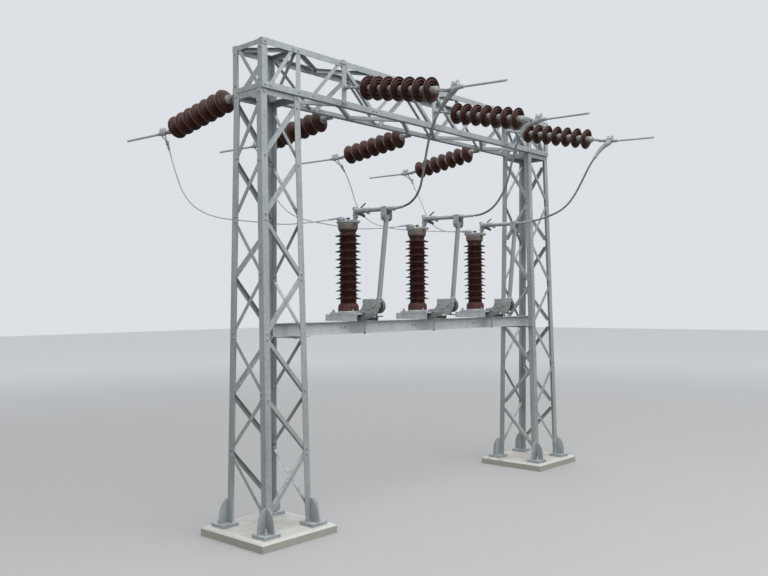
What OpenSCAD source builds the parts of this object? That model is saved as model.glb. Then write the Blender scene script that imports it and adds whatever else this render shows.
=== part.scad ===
// Lattice switch portal: two laced columns, a box beam with strain strings, and three switch poles.
// Frame: X along the beam, front is -Y, Z up. The origin is at ground level under mid-span. Sizes in mm.

/* [Portal] */
// Distance between the column centre lines
span = 4905; // [4400:10:6000]
// Height of the top of the beam above the ground
height = 5000; // [4600:10:5600]
// Outside width of a column along X at its head
column_w = 510; // [460:10:560]
// Outside width of a column along X at its foot
column_w_foot = 590; // [560:10:700]
// Outside depth of a column along Y at its head
column_d = 435; // [410:5:470]
// Outside depth of a column along Y at its foot
column_d_foot = 620; // [560:10:760]
// Height of the box beam
beam_h = 500; // [440:10:600]
// Outside depth of the box beam along Y
beam_d = 480; // [440:10:540]

/* [Steel sections] */
// Flange width of the column leg angles
leg_flange = 75; // [65:5:90]
// Thickness of the column leg angles
leg_t = 7; // [6:1:10]
// Flange width of the beam chord angles
chord_flange = 65; // [60:5:80]
// Thickness of the beam chord angles
chord_t = 6; // [5:1:8]
// Flange width of the lacing angles
lace_flange = 40; // [35:1:50]
// Thickness of the lacing angles
lace_t = 4; // [3:1:5]
// Number of lacing bars up each column face
column_bays = 7; // [5:1:9]

/* [Foundations] */
// Side of a square concrete plinth
plinth_w = 980; // [900:10:1200]
// Height of a plinth above the ground
plinth_h = 90; // [60:5:160]
// Side of the square shoe plate under each leg
shoe_w = 200; // [180:5:220]
// Thickness of the shoe plate with its pad
shoe_t = 36; // [24:1:44]
// Height of the shoe gussets above the plate
gusset_h = 215; // [180:5:260]

/* [Strain strings] */
// Diameter of a cap-and-pin disc
disc_d = 254; // [240:2:280]
// Spacing of the discs along a string
disc_pitch = 146; // [140:1:160]
// Discs in each string
disc_count = 7; // [5:1:7]
// Distance between the front string brackets
string_pitch = 1600; // [1500:10:1700]
// Diameter of the line conductor tails
tail_d = 26; // [20:1:30]

/* [Switch poles] */
// Distance between the poles
pole_pitch = 1230; // [1150:10:1300]
// Level of the top of the cross beam that carries the poles
cross_z = 2150; // [1950:10:2300]
// Height of the cross beam channel
cross_h = 140; // [120:5:160]
// Diameter of the large sheds of a post insulator
shed_d = 294; // [270:2:304]
// Diameter of the small sheds between them
small_shed_d = 222; // [212:1:240]
// Diameter of the porcelain core
core_d = 184; // [176:1:196]
// Large sheds on a post insulator
shed_count = 9; // [7:1:9]
// Outside diameter of the contact tube
tube_d = 50; // [46:1:60]
// Outside diameter of the earthing blade
blade_d = 55; // [46:1:56]

/* [Hidden] */
// Gap between two bolted pieces
seat = 0.3;
// Radial clearance of a hinge pin
pin_gap = 0.05;
$fn = 48;

STEEL = [0.62, 0.66, 0.67];
CONCRETE = [0.72, 0.70, 0.66];
PORCELAIN = [0.20, 0.09, 0.07];
CASTING = [0.58, 0.58, 0.57];
BROWN_IRON = [0.38, 0.27, 0.24];
ALUMINIUM = [0.66, 0.68, 0.70];

col_x = span / 2;
half_w = column_w / 2;
half_w_foot = column_w_foot / 2;
half_d = column_d / 2;
half_d_foot = column_d_foot / 2;
beam_z = height - beam_h;
leg_z = plinth_h + shoe_t;
leg_h = beam_z - leg_z;
taper_x = atan2(half_w_foot - half_w, leg_h);
taper_y = atan2(half_d_foot - half_d, leg_h);

// Half width and half depth of a column at height z above the foot of its legs
function half_width(z) = half_w_foot - (half_w_foot - half_w) * z / leg_h;
function half_depth(z) = half_d_foot - (half_d_foot - half_d) * z / leg_h;

// Lacing of the columns: from above the shoes to below the head frame
lace_low = 125;
lace_high = leg_h - 100;
lace_inset = 42;
lace_over = 15;
node_gap = 28;
bay_h = (lace_high - lace_low) / column_bays;

// Lean of the bars up a face, from the foot: 1 has the foot of the bar at the +x side of the face.
// The left column was laced with a few bars turned round, the right one regularly.
turned_a = [1, -1, -1, 1, -1, 1, 1];
turned_b = [-1, 1, -1, 1, -1, 1, 1];
turned_c = [1, 1, -1, 1, -1, 1, 1];
regular = [1, -1];
// The bars of the side faces are cut short of the legs, so that they clear those of the front and back
side_over = -37;

head_flange = 60;
head_t = 5;

beam_l = span + column_w;
half_l = beam_l / 2;
half_b = beam_d / 2;
panel = string_pitch / 3;
inner_x = half_l - column_w;
post_flange = 60;
corner_flange = 70;
cross_angle = 50;

strap_w = 65;
strap_t = 10;
lug_t = 14;
shackle_pin_d = 18;
front_string_x = [30 - string_pitch, 0, string_pitch];
back_string_x = [45 - half_l, 295 - string_pitch, 100, string_pitch];
lug_reach = 52;
eye_r = 25;
front_root = [-half_b - lug_reach, height - 300];
back_root = [half_b + lug_reach, beam_z];
front_droop = [11.7, 13.2, 13.2];
back_droop = [9.2, 7, 6.2, 8.2];
// Distance along a string from its root pin to the rim of the first disc, and to the link behind the last
front_first = 316;
back_first = 140;
link_after = 200;
front_link = front_first + (disc_count - 1) * disc_pitch + link_after;
back_link = back_first + (disc_count - 1) * disc_pitch + link_after;

// Point at distance s along string k, as [y, z]
function front_at(k, s) = front_root - s * [cos(front_droop[k]), sin(front_droop[k])];
function back_at(k, s) = back_root + s * [cos(back_droop[k]), -sin(back_droop[k])];

// Clamps that hold the conductors, and the yoke that hangs from a back clamp, as [y, z] from the link.
// The wind and the pull of the droppers have set each one a little differently.
front_hub_offset = [[-120, 8], [-100, -12], [-150, -28]];
back_hub_offset = [105, 3];
back_yoke_offset = [[-90, -118], [-60, -100], [-132, -125], [-131, -121]];
jumper_offset = [10, -8];
function front_hub(k) = front_at(k, front_link) + front_hub_offset[k];
function back_hub(k) = back_at(k, back_link) + back_hub_offset;
function back_yoke(k) = back_hub(k) + back_yoke_offset[k];
tail_end = 2350;
front_tail_drop = [38, 22, 30];
back_tail_rise = 20;
collar_d = 40;
collar_l = 78;

cross_web = 8;
cross_flange = 60;
cross_y = -100;
cross_l = 4860;
seat_flange = 65;
seat_lip = 22;
seat_t = 6;

pole_x = [-pole_pitch, 0, pole_pitch];
pole_y = 50;
base_w = 280;
base_h = 75;
base_t = 6;
base_front = -210;
base_back = 285;
top_plate_t = 22;
top_plate_front = -205;
top_plate_back = 205;
post_z = cross_z + base_h + top_plate_t;
post_h = 1033;
flange_d = 240;
flange_h = 100;
cap_h = 115;
cap_d = 256;
head_z = post_z + post_h;

// Shaft of each earthing blade, and the lean of the blade. The first bracket stands closer to its post.
pivot_y = [-375, -455, -455];
pivot_z = cross_z + 166;
blade_lean = [7.5, 6, 6];
pin_d = 20;
cheek_gap = 66;
cheek_t = 8;
drum_d = 165;
drum_t = 34;
eye_w = 52;
eye_d = 76;
blade_wall = 4;
// Distance of the blade's centre line in front of its shaft, and its length below the shaft
blade_out = 42;
blade_below = 40;
fork_gap = 84;
fork_t = 8;
// Root of the fork above the head of the post
fork_rise = 7;
fork_l = 76;
fork_w = 82;
tube_z = head_z + 116;
tube_tip = -665;
tube_sag = 18;
tube_wall = 4;
plate_y = -78;

// Routes of the droppers at the sizes above. Each list runs from the string clamp to the pole terminal.
front_cord_d = 24;
back_cord_d = 15;
sleeve_d = 36;
back_sleeve_d = 26;
terminal_y = 200;
terminal_z = head_z + 51;
cord_sides = 8;
front_paths = [
    [[-1570, -1765, 4418], [-1485, -1515, 4280], [-1455, -1425, 4200], [-1438, -1358, 4100],
     [-1420, -1300, 3985], [-1403, -1243, 3820], [-1390, -1198, 3670], [-1375, -1148, 3545],
     [-1352, -1070, 3458], [-1318, -960, 3403], [-1280, -840, 3380], [-1230, -665, 3378]],
    [[0, -1737, 4362], [0, -1550, 4315], [0, -1480, 4220], [0, -1420, 4090],
     [0, -1370, 3940], [0, -1325, 3780], [0, -1255, 3625], [0, -1160, 3500],
     [0, -1060, 3425], [0, -950, 3386], [0, -850, 3376], [0, -665, 3378]],
    [[1600, -1787, 4346], [1555, -1665, 4250], [1525, -1600, 4150], [1500, -1535, 4040],
     [1475, -1450, 3870], [1450, -1370, 3720], [1420, -1280, 3595], [1385, -1170, 3508],
     [1345, -1040, 3452], [1300, -920, 3415], [1262, -835, 3396], [1230, -665, 3378]]
];

back_paths = [
    [[-2662, 1507, 4190], [-2640, 1500, 4110], [-2605, 1485, 3970], [-2565, 1450, 3790],
     [-2525, 1415, 3650], [-2460, 1350, 3510], [-2360, 1260, 3410], [-2210, 1120, 3340],
     [-1960, 890, 3300], [-1680, 630, 3268], [-1430, 400, 3292], [-1250, 200, 3331]],
    [[-1305, 1544, 4255], [-1300, 1535, 4180], [-1280, 1515, 4060], [-1235, 1470, 3910],
     [-1180, 1415, 3740], [-1110, 1340, 3595], [-1015, 1245, 3478], [-880, 1105, 3404],
     [-660, 880, 3342], [-430, 650, 3296], [-215, 425, 3300], [-20, 200, 3331]],
    [[100, 1474, 4246], [130, 1452, 4180], [178, 1430, 4075], [215, 1400, 3940],
     [245, 1368, 3785], [285, 1320, 3640], [345, 1250, 3535], [445, 1135, 3440],
     [620, 925, 3376], [870, 640, 3345], [1145, 290, 3329], [1210, 200, 3331]],
    [[1600, 1470, 4208], [1584, 1440, 4155], [1560, 1385, 4080], [1532, 1290, 3960],
     [1508, 1200, 3815], [1488, 1120, 3680], [1466, 1040, 3570], [1438, 940, 3490],
     [1402, 810, 3425], [1350, 620, 3368], [1280, 330, 3336], [1240, 200, 3331]]
];

// A path moved to new end points. The points between share the move in steps.
function fitted(path, start, end) =
    [for (i = [0:len(path) - 1])
        let (w = i / (len(path) - 1))
        path[i] + (1 - w) * (start - path[0]) + w * (end - path[len(path) - 1])];

// Pole that each back dropper goes to, with its place across the terminal block
back_pole = [0, 1, 2, 2];
back_place = [-20, -20, -20, 10];
front_routes = [for (k = [0:2])
    let (start = front_hub(k) + jumper_offset)
    fitted(front_paths[k], [front_string_x[k], start[0], start[1]],
           [pole_x[k], tube_tip, tube_z - tube_sag])];
back_routes = [for (k = [0:3])
    fitted(back_paths[k], [back_string_x[k], back_yoke(k)[0], back_yoke(k)[1]],
           [pole_x[back_pole[k]] + back_place[k], terminal_y, terminal_z])];

module angle_section(flange, t) {
    polygon([[0, 0], [flange, 0], [flange, t], [t, t], [t, flange], [0, flange]]);
}

// Profile drawn in the YZ plane and drawn out along X from x0 to x1, for bars and for plates
module along_x(x0, x1) {
    translate([x0, 0, 0]) rotate([90, 0, 90]) linear_extrude(x1 - x0) children();
}

// Lacing angle between two points of a face: flat flange on the face, the other one standing inwards
module lacing_bar(p, q, flange = lace_flange, t = lace_t, over = lace_over) {
    run = q - p;
    translate([p[0], p[1], 0])
        rotate([0, 0, atan2(run[1], run[0])])
            translate([-over, -flange / 2, 0])
                rotate([90, 0, 90])
                    linear_extrude(norm(run) + 2 * over) angle_section(flange, t);
}

// Lacing of one face of a column. The half width of the face is given at its foot and at its head.
module face_lacing(leans, low_half, high_half, over) {
    for (i = [0:column_bays - 1]) {
        lean = leans[i % len(leans)];
        foot = low_half + (high_half - low_half) * panel_z(i) / leg_h - lace_inset;
        head = low_half + (high_half - low_half) * panel_z(i + 1) / leg_h - lace_inset;
        lacing_bar([lean * foot, panel_z(i) + node_gap], [-lean * head, panel_z(i + 1) - node_gap], over = over);
    }
}

// Stands a face upright with its inward side along the direction turned by a from -Y
module upright(a) {
    rotate([0, 0, a]) rotate([90, 0, 0]) children();
}

module plinth() {
    chamfer = 20;
    difference() {
        translate([-plinth_w / 2, -plinth_w / 2, 0]) cube([plinth_w, plinth_w, plinth_h]);
        for (a = [0:90:270])
            rotate([0, 0, a])
                translate([plinth_w / 2, 0, plinth_h])
                    rotate([0, 45, 0])
                        cube([chamfer, plinth_w + 1, chamfer], center = true);
    }
}

module plinths() {
    color(CONCRETE)
        for (x = [-col_x, col_x]) translate([x, 0, 0]) plinth();
}

// Shoe of the leg whose heel is at the origin and whose flanges run along -X and -Y
module shoe() {
    out = 115;
    gusset_t = 10;
    groove = 4;
    for (z = [0, (shoe_t + groove) / 2])
        translate([out - shoe_w, out - shoe_w, z]) cube([shoe_w, shoe_w, (shoe_t - groove) / 2]);
    translate([out - shoe_w + groove, out - shoe_w + groove, 1])
        cube([shoe_w - 2 * groove, shoe_w - 2 * groove, shoe_t - 2]);
    along_x(-gusset_t, 0) gusset_profile(out - 15, tan(taper_y));
    rotate([90, 0, 0]) linear_extrude(gusset_t) gusset_profile(out - 15, tan(taper_x));
}

// Bell-shaped gusset: x outwards from the heel of the leaning leg, y up from the underside of the plate
module gusset_profile(out, slope) {
    edge = 12;
    drop = out - edge;
    r = (gusset_h * gusset_h + drop * drop) / (2 * drop);
    intersection() {
        translate([out - r, shoe_t]) circle(r = r, $fn = 96);
        polygon([[seat, shoe_t - 1], [out + 1, shoe_t - 1], [out + 1, shoe_t + gusset_h],
                 [seat - slope * gusset_h, shoe_t + gusset_h], [seat, shoe_t]]);
    }
}

module shoes() {
    color(STEEL)
        for (x = [-col_x, col_x], sx = [-1, 1], sy = [-1, 1])
            translate([x + sx * half_w_foot, sy * half_d_foot, plinth_h])
                mirror([sx < 0 ? 1 : 0, 0, 0])
                    mirror([0, sy < 0 ? 1 : 0, 0])
                        shoe();
}

// Leg at the +X +Y corner of a column, leaning both ways and cut level at its ends
module leg() {
    spare = 20;
    intersection() {
        translate([half_w_foot, half_d_foot, 0])
            rotate([taper_y, -taper_x, 0])
                translate([0, 0, -spare])
                    linear_extrude(leg_h + 2 * spare) rotate(180) angle_section(leg_flange, leg_t);
        cube([column_w_foot, column_d_foot, leg_h]);
    }
}

module column_legs(x) {
    color(STEEL)
        translate([x, 0, leg_z])
            for (sx = [0, 1], sy = [0, 1])
                mirror([sx, 0, 0]) mirror([0, sy, 0]) leg();
}

// Heights of the panel points above the foot of the legs
function panel_z(i) = lace_low + i * bay_h;

// Lacing of the front face of a column, which leans with the legs. Its +x side is at -X.
module front_face(leans) {
    translate([0, -half_d_foot, 0])
        rotate([-taper_y, 0, 0])
            upright(180)
                translate([0, 0, leg_t + seat]) face_lacing(leans, half_w_foot, half_w, lace_over);
}

// Lacing of the side face at -X of a column. Its +x side is at the back.
module side_face(leans) {
    translate([-half_w_foot, 0, 0])
        rotate([0, taper_x, 0])
            upright(90)
                translate([0, 0, leg_t + seat]) face_lacing(leans, half_d_foot, half_d, side_over);
}

module left_lacing(face) {
    color(STEEL)
        translate([-col_x, 0, leg_z]) {
            if (face == "front") front_face(turned_a);
            if (face == "back") rotate([0, 0, 180]) front_face(turned_c);
            if (face == "outer") side_face(turned_b);
            if (face == "inner") rotate([0, 0, 180]) side_face(turned_a);
        }
}

module right_lacing(face) {
    color(STEEL)
        mirror([1, 0, 0])
            translate([-col_x, 0, leg_z]) {
                if (face == "front") front_face(regular);
                if (face == "back") rotate([0, 0, 180]) front_face(regular);
                if (face == "outer") side_face(regular);
                if (face == "inner") rotate([0, 0, 180]) side_face(regular);
            }
}

module head_frame() {
    w = column_w - 2 * (leg_t + seat);
    d = column_d - 2 * (leg_t + seat);
    difference() {
        translate([-w / 2, -d / 2, -head_flange]) cube([w, d, head_flange]);
        translate([-w / 2 + head_t, -d / 2 + head_t, -head_flange - 1])
            cube([w - 2 * head_t, d - 2 * head_t, head_flange - head_t + 1]);
        translate([-w / 2 + head_flange, -d / 2 + head_flange, -head_t - 1])
            cube([w - 2 * head_flange, d - 2 * head_flange, head_t + 2]);
    }
}

module head_frames() {
    color(STEEL)
        for (x = [-col_x, col_x]) translate([x, 0, beam_z]) head_frame();
}

module chord() {
    translate([0, -half_b, 0]) along_x(-half_l, half_l) angle_section(chord_flange, chord_t);
}

module beam_chords() {
    color(STEEL)
        for (sy = [0, 1], sz = [0, 1])
            translate([0, 0, beam_z + sz * beam_h])
                mirror([0, sy, 0]) mirror([0, 0, sz]) chord();
}

// Upright angles: one in each end corner, and one over each inner leg with its heel towards mid-span
module beam_posts() {
    post_h = beam_h - 2 * chord_t;
    inset = chord_t + seat;
    color(STEEL)
        for (sx = [0, 1], sy = [0, 1])
            mirror([sx, 0, 0]) mirror([0, sy, 0]) {
                translate([-half_l, -half_b + inset, beam_z + chord_t])
                    linear_extrude(post_h) angle_section(corner_flange, chord_t);
                translate([-inner_x, -half_b + inset, beam_z + chord_t])
                    mirror([1, 0, 0]) linear_extrude(post_h) angle_section(post_flange, chord_t);
            }
}

// Reach of the bars up and down a long face of the beam, and across its top and bottom, where the
// bars stop inside the standing flanges of the face lacing
face_reach = beam_h / 2 - 34;
flat_reach = half_b - 76;
// Distance of the bars in the end bays from the posts, and of the next bars from the inner posts
end_gap = 102;
inner_gap = 50;
front_gap = 175;

// Panel bars from x0: each one rises or falls by turns between -reach and reach
module panels(x0, count, first, reach) {
    for (i = [0:count - 1]) {
        side = (i % 2 == 0 ? 1 : -1) * first * reach;
        lacing_bar([x0 + i * panel + node_gap, -side], [x0 + (i + 1) * panel - node_gap, side]);
    }
}

module beam_front_lacing() {
    color(STEEL)
        translate([0, -half_b + chord_t + seat, beam_z + beam_h / 2])
            rotate([90, 0, 180]) mirror([1, 0, 0]) {
                lacing_bar([-half_l + end_gap, -face_reach], [-inner_x - end_gap, face_reach]);
                lacing_bar([-inner_x + front_gap, -face_reach], [-string_pitch - node_gap, face_reach]);
                panels(-string_pitch, 3, -1, face_reach);
                panels(0, 3, -1, face_reach);
                lacing_bar([string_pitch + node_gap, face_reach], [inner_x - inner_gap, -face_reach]);
                lacing_bar([inner_x + end_gap, face_reach], [half_l - end_gap, -face_reach]);
            }
}

module beam_back_lacing() {
    color(STEEL)
        translate([0, half_b - chord_t - seat, beam_z + beam_h / 2])
            rotate([90, 0, 0]) {
                lacing_bar([-half_l + end_gap, -face_reach], [-inner_x - end_gap, face_reach]);
                lacing_bar([-inner_x + inner_gap, face_reach], [-string_pitch - node_gap, -face_reach]);
                panels(-string_pitch, 6, 1, face_reach);
                lacing_bar([string_pitch + node_gap, -face_reach], [inner_x - inner_gap, face_reach]);
                lacing_bar([inner_x + end_gap, face_reach], [half_l - end_gap, -face_reach]);
            }
}

// Flat lacing on the bottom face, drawn in plan with the free flange standing up
module flat_lacing() {
    lacing_bar([-half_l + end_gap, -flat_reach], [-inner_x - end_gap, flat_reach]);
    lacing_bar([-inner_x + inner_gap, flat_reach], [-string_pitch - node_gap, -flat_reach]);
    panels(-string_pitch, 3, 1, flat_reach);
    panels(0, 3, 1, flat_reach);
    lacing_bar([string_pitch + node_gap, flat_reach], [inner_x - inner_gap, -flat_reach]);
    lacing_bar([inner_x + end_gap, -flat_reach], [half_l - end_gap, flat_reach]);
}

module beam_bottom_lacing() {
    color(STEEL)
        translate([0, 0, beam_z + chord_t + seat]) flat_lacing();
}

module beam_top_lacing() {
    color(STEEL)
        translate([0, 0, height - chord_t - seat]) mirror([0, 0, 1]) mirror([0, 1, 0]) flat_lacing();
}

// Angle along Y between the posts, its heel at the top or bottom chords and its flat flange towards +X
module cross_bar(z) {
    reach = half_b - 2 * chord_t - 2 * seat;
    translate([0, reach, z > 0 ? -chord_t - seat : chord_t + seat])
        translate([0, 0, z])
            rotate([90, 0, 0])
                linear_extrude(2 * reach) mirror([0, z > 0 ? 1 : 0]) angle_section(cross_angle, lace_t);
}

// Cross bars and one diagonal in each end of the box beam, and the same between its inner posts
module beam_end_braces() {
    reach = half_b - 85;
    rise = beam_h / 2 - 44;
    behind = chord_t + lace_t + 2 * seat;
    color(STEEL)
        for (sx = [0, 1])
            mirror([sx, 0, 0])
                translate([0, 0, beam_z + beam_h / 2]) {
                    translate([-half_l + chord_t + seat, 0, 0])
                        for (z = [-beam_h / 2, beam_h / 2]) cross_bar(z);
                    translate([-half_l + behind, 0, 0])
                        upright(90) lacing_bar([-reach, -rise], [reach, rise]);
                    translate([-inner_x - chord_t - seat, 0, 0])
                        mirror([1, 0, 0]) cross_bar(beam_h / 2);
                    translate([-inner_x - behind, 0, 0])
                        upright(-90) lacing_bar([-reach, -rise], [reach, rise]);
                }
}

// Vertical strap on the front chords with the lug that holds a string
module front_bracket() {
    top = 10;
    translate([-strap_w / 2, -half_b - strap_t, beam_z]) cube([strap_w, strap_t, beam_h + top]);
    along_x(-lug_t / 2, lug_t / 2)
        difference() {
            union() {
                translate(front_root) circle(r = eye_r);
                translate([front_root[0], front_root[1] - eye_r])
                    square([lug_reach - strap_t + 1, 2 * eye_r]);
            }
            translate(front_root) circle(d = shackle_pin_d + 2 * seat);
        }
}

module back_bracket() {
    below = 20;
    translate([-strap_w / 2, half_b, beam_z - below]) cube([strap_w, strap_t, chord_flange + below]);
    along_x(-lug_t / 2, lug_t / 2)
        difference() {
            union() {
                translate(back_root) circle(r = eye_r);
                translate([half_b + strap_t - 1, back_root[1] - eye_r])
                    square([lug_reach - strap_t + 1, 2 * eye_r]);
            }
            translate(back_root) circle(d = shackle_pin_d + 2 * seat);
        }
}

module string_brackets() {
    color(STEEL) {
        for (x = front_string_x) translate([x, 0, 0]) front_bracket();
        for (x = back_string_x) translate([x, 0, 0]) back_bracket();
    }
}

// Porcelain disc with its axis along X, cap side at -X. The plane of the rim is at x = 0.
module disc_shell() {
    r = disc_d / 2;
    rotate([0, 90, 0])
        rotate_extrude($fn = 40)
            polygon([[0, -shoulder], [48, -shoulder], [58, -48], [76, -42], [80, -34], [102, -26], [r - 6, -10],
                     [r, 2], [r - 4, 10], [r - 12, 8], [r - 22, 2], [r - 30, 20], [r - 38, 20], [r - 46, 0],
                     [r - 56, 18], [r - 64, 18], [r - 72, -4], [46, -8], [0, -8]]);
}

shoulder = 60;
disc_seat = 8;
cap_r = 40;
cap_l = 136;
first_cap_l = 95;
pin_r = 10;

// Cap of one disc, with the pin of the disc before it when joined
module disc_cap(length, pin_end) {
    rotate([0, 90, 0])
        rotate_extrude($fn = 32)
            polygon([[0, pin_end], [pin_r, pin_end], [pin_r, 4 - length], [26, 4 - length], [34, 9 - length],
                     [cap_r - 3, 18 - length], [cap_r, -shoulder], [0, -shoulder]]);
}

// Discs of one string along +X from its root pin
module string_discs(first) {
    for (i = [0:disc_count - 1]) translate([first + i * disc_pitch, 0, 0]) disc_shell();
}

// Shackle round the lug, ball rod, caps and pins, and the socket at the line end
module string_links(first, link) {
    last = first + (disc_count - 1) * disc_pitch;
    side_t = 10;
    side_l = 48;
    for (s = [-1, 1])
        translate([0, s * (lug_t + side_t + 2 * seat) / 2, 0])
            rotate([90, 0, 0])
                linear_extrude(side_t, center = true) {
                    circle(d = 40);
                    translate([0, -14]) square([side_l, 28]);
                }
    translate([side_l - 14, -20, -16]) cube([16, 40, 32]);
    rotate([90, 0, 0]) cylinder(d = shackle_pin_d, h = lug_t + 30, center = true);
    if (first > first_cap_l + side_l)
        translate([side_l, 0, 0]) rotate([0, 90, 0]) cylinder(r = pin_r + 3, h = first - first_cap_l - side_l);
    translate([first, 0, 0]) disc_cap(first_cap_l, -first_cap_l - 1);
    for (i = [1:disc_count - 1]) translate([first + i * disc_pitch, 0, 0]) disc_cap(cap_l, -disc_pitch - disc_seat);
    translate([last, 0, 0]) line_socket();
    translate([last, 0, 0]) link_plates(link - last);
}

// Socket on the last pin
module line_socket() {
    rotate([0, 90, 0])
        rotate_extrude($fn = 32)
            polygon([[0, -disc_seat], [pin_r, -disc_seat], [pin_r, -4], [34, -4], [38, 4], [cap_r, 78], [34, 88],
                     [16, 90], [13, 108], [13, 124], [0, 124]]);
}

// Two side plates from the neck of the socket to the clamp at the given distance
module link_plates(length) {
    plate_t = 8;
    plate_w = 26;
    near = 112;
    translate([near - 8, -18, -13]) cube([20, 36, 26]);
    for (s = [-1, 1])
        translate([near, s * 18 - plate_t / 2, -plate_w / 2]) cube([length - near + 12, plate_t, plate_w]);
    translate([length, 0, 0]) rotate([90, 0, 0]) cylinder(d = 18, h = 52, center = true);
}

module front_discs() {
    color(PORCELAIN)
        for (k = [0:2]) place_front(k) string_discs(front_first);
}

module back_discs() {
    color(PORCELAIN)
        for (k = [0:3]) place_back(k) string_discs(back_first);
}

module place_front(k) {
    translate([front_string_x[k], front_root[0], front_root[1]])
        rotate([0, 0, -90]) rotate([0, front_droop[k], 0]) children();
}

module place_back(k) {
    translate([back_string_x[k], back_root[0], back_root[1]])
        rotate([0, 0, 90]) rotate([0, back_droop[k], 0]) children();
}

// Round rod between two points
module rod(p, q, d) {
    run = q - p;
    flat = norm([run[0], run[1]]);
    translate(p)
        rotate([0, atan2(flat, run[2]), atan2(run[1], run[0])])
            cylinder(d = d, h = norm(run));
}

// Conductor tail from a clamp at [y, z] to the given end, with a collar whose face is square to it
module tail(x, hub, end) {
    p = [x, hub[0], hub[1]];
    q = [x, end[0], end[1]];
    rod(p, q, tail_d);
    rod(p, p + collar_l * (q - p) / norm(q - p), collar_d);
}

// Dead-end clamp behind the last disc, with the tail and the sleeve of the dropper
module front_clamp(k) {
    x = front_string_x[k];
    hub = front_hub(k);
    link = front_at(k, front_link);
    route = front_routes[k];
    rod([x, link[0] + 14, link[1]], [x, hub[0], hub[1]], 28);
    rod([x, hub[0] + 60, hub[1] + 2], [x, hub[0] - 50, hub[1] - 2], 42);
    translate([x, hub[0] + 10, hub[1] + 22]) cube([44, 70, 28], center = true);
    tail(x, hub, [-tail_end, hub[1] - front_tail_drop[k]]);
    rod(route[0], route[1], sleeve_d);
}

// Back clamp, with a yoke on two rods that carries the dropper
module back_clamp(k) {
    x = back_string_x[k];
    hub = back_hub(k);
    link = back_at(k, back_link);
    route = back_routes[k];
    rod([x, link[0] - 14, link[1]], [x, hub[0], hub[1]], 28);
    rod([x, hub[0] - 60, hub[1]], [x, hub[0] + 50, hub[1]], 42);
    for (out = [-36, 22]) translate([x, hub[0] + out, hub[1] + 14]) cube([44, 24, 34], center = true);
    tail(x, hub, [tail_end, hub[1] + back_tail_rise]);
    for (out = [-42, 30]) rod([x, hub[0] + out, hub[1] - 10], route[0], 14);
    rod(route[0] + [0, 0, 20], route[0] - [0, 0, 20], 34);
    rod(route[0], route[1], back_sleeve_d);
}

module front_fittings() {
    color(CASTING)
        for (k = [0:2]) {
            place_front(k) string_links(front_first, front_link);
            front_clamp(k);
        }
}

module back_fittings() {
    color(CASTING)
        for (k = [0:3]) {
            place_back(k) string_links(back_first, back_link);
            back_clamp(k);
        }
}

module cross_beam() {
    color(STEEL)
        translate([0, cross_y, cross_z - cross_h])
            along_x(-cross_l / 2, cross_l / 2)
                difference() {
                    square([cross_flange, cross_h]);
                    translate([-1, cross_web]) square([cross_flange - cross_web + 1, cross_h - 2 * cross_web]);
                }
}

// Unequal angle across the inner legs of each column that the cross beam rests on
module seat_angles() {
    foot = cross_z - cross_h - leg_z;
    length = 2 * half_depth(foot) - 20;
    color(STEEL)
        for (sx = [0, 1])
            mirror([sx, 0, 0])
                translate([-col_x + half_width(foot) + seat, length / 2, cross_z - cross_h])
                    rotate([90, 0, 0])
                        linear_extrude(length)
                            polygon([[0, 0], [seat_flange, 0], [seat_flange, -seat_t], [seat_t, -seat_t],
                                     [seat_t, -seat_lip], [0, -seat_lip]]);
}

module pole_base() {
    length = base_back - base_front;
    translate([0, base_back, cross_z])
        rotate([90, 0, 0])
            linear_extrude(length)
                difference() {
                    translate([-base_w / 2, 0]) square([base_w, base_h]);
                    translate([-base_w / 2 + base_t, -1]) square([base_w - 2 * base_t, base_h - base_t + 1]);
                }
}

module pole_bases() {
    color(STEEL)
        for (x = pole_x) translate([x, 0, 0]) pole_base();
}

module pole_porcelain() {
    low = flange_h;
    high = post_h - cap_h;
    first = 57;
    last = 44;
    pitch = (high - low - first - last) / (shed_count - 1);
    color(PORCELAIN)
        for (x = pole_x)
            translate([x, pole_y, post_z]) {
                translate([0, 0, low]) cylinder(d = core_d, h = high - low);
                for (i = [0:shed_count - 1]) {
                    translate([0, 0, low + first + i * pitch]) shed(shed_d, 18);
                    if (i < shed_count - 1)
                        translate([0, 0, low + first + (i + 0.5) * pitch]) shed(small_shed_d, 8);
                }
            }
}

// Shed with a sloping top and a short drip edge
module shed(d, rise) {
    rotate_extrude()
        polygon([[core_d / 2 - 1, -4], [d / 2 - 4, -8], [d / 2, -6], [d / 2, -1], [core_d / 2 - 1, rise]]);
}

module post_flange_low() {
    ribs = 8;
    outside = flange_d / 2;
    shoulder_h = 12;
    cylinder(d = flange_d, h = 14);
    cylinder(r1 = outside - 6, r2 = outside - 9, h = flange_h - shoulder_h);
    translate([0, 0, flange_h - shoulder_h])
        cylinder(r1 = outside - 9, r2 = core_d / 2 + 5, h = shoulder_h);
    for (a = [0:360 / ribs:359])
        rotate([0, 0, a])
            rotate([90, 0, 0])
                linear_extrude(12, center = true)
                    polygon([[outside - 20, 10], [outside - 1, 10], [outside - 3, 70],
                             [outside - 20, flange_h - shoulder_h - 3]]);
}

module post_cap() {
    rotate_extrude()
        polygon([[0, 0], [core_d / 2 + 2, 0], [core_d / 2 + 6, 16], [cap_d / 2 - 16, 42],
                 [cap_d / 2 - 12, cap_h - 18], [cap_d / 2, cap_h - 14], [cap_d / 2, cap_h], [0, cap_h]]);
}

module pole_flanges() {
    for (x = pole_x)
        translate([x, pole_y, post_z]) {
            color(BROWN_IRON) post_flange_low();
            color(CASTING) translate([0, 0, post_h - cap_h]) post_cap();
        }
}

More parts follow.
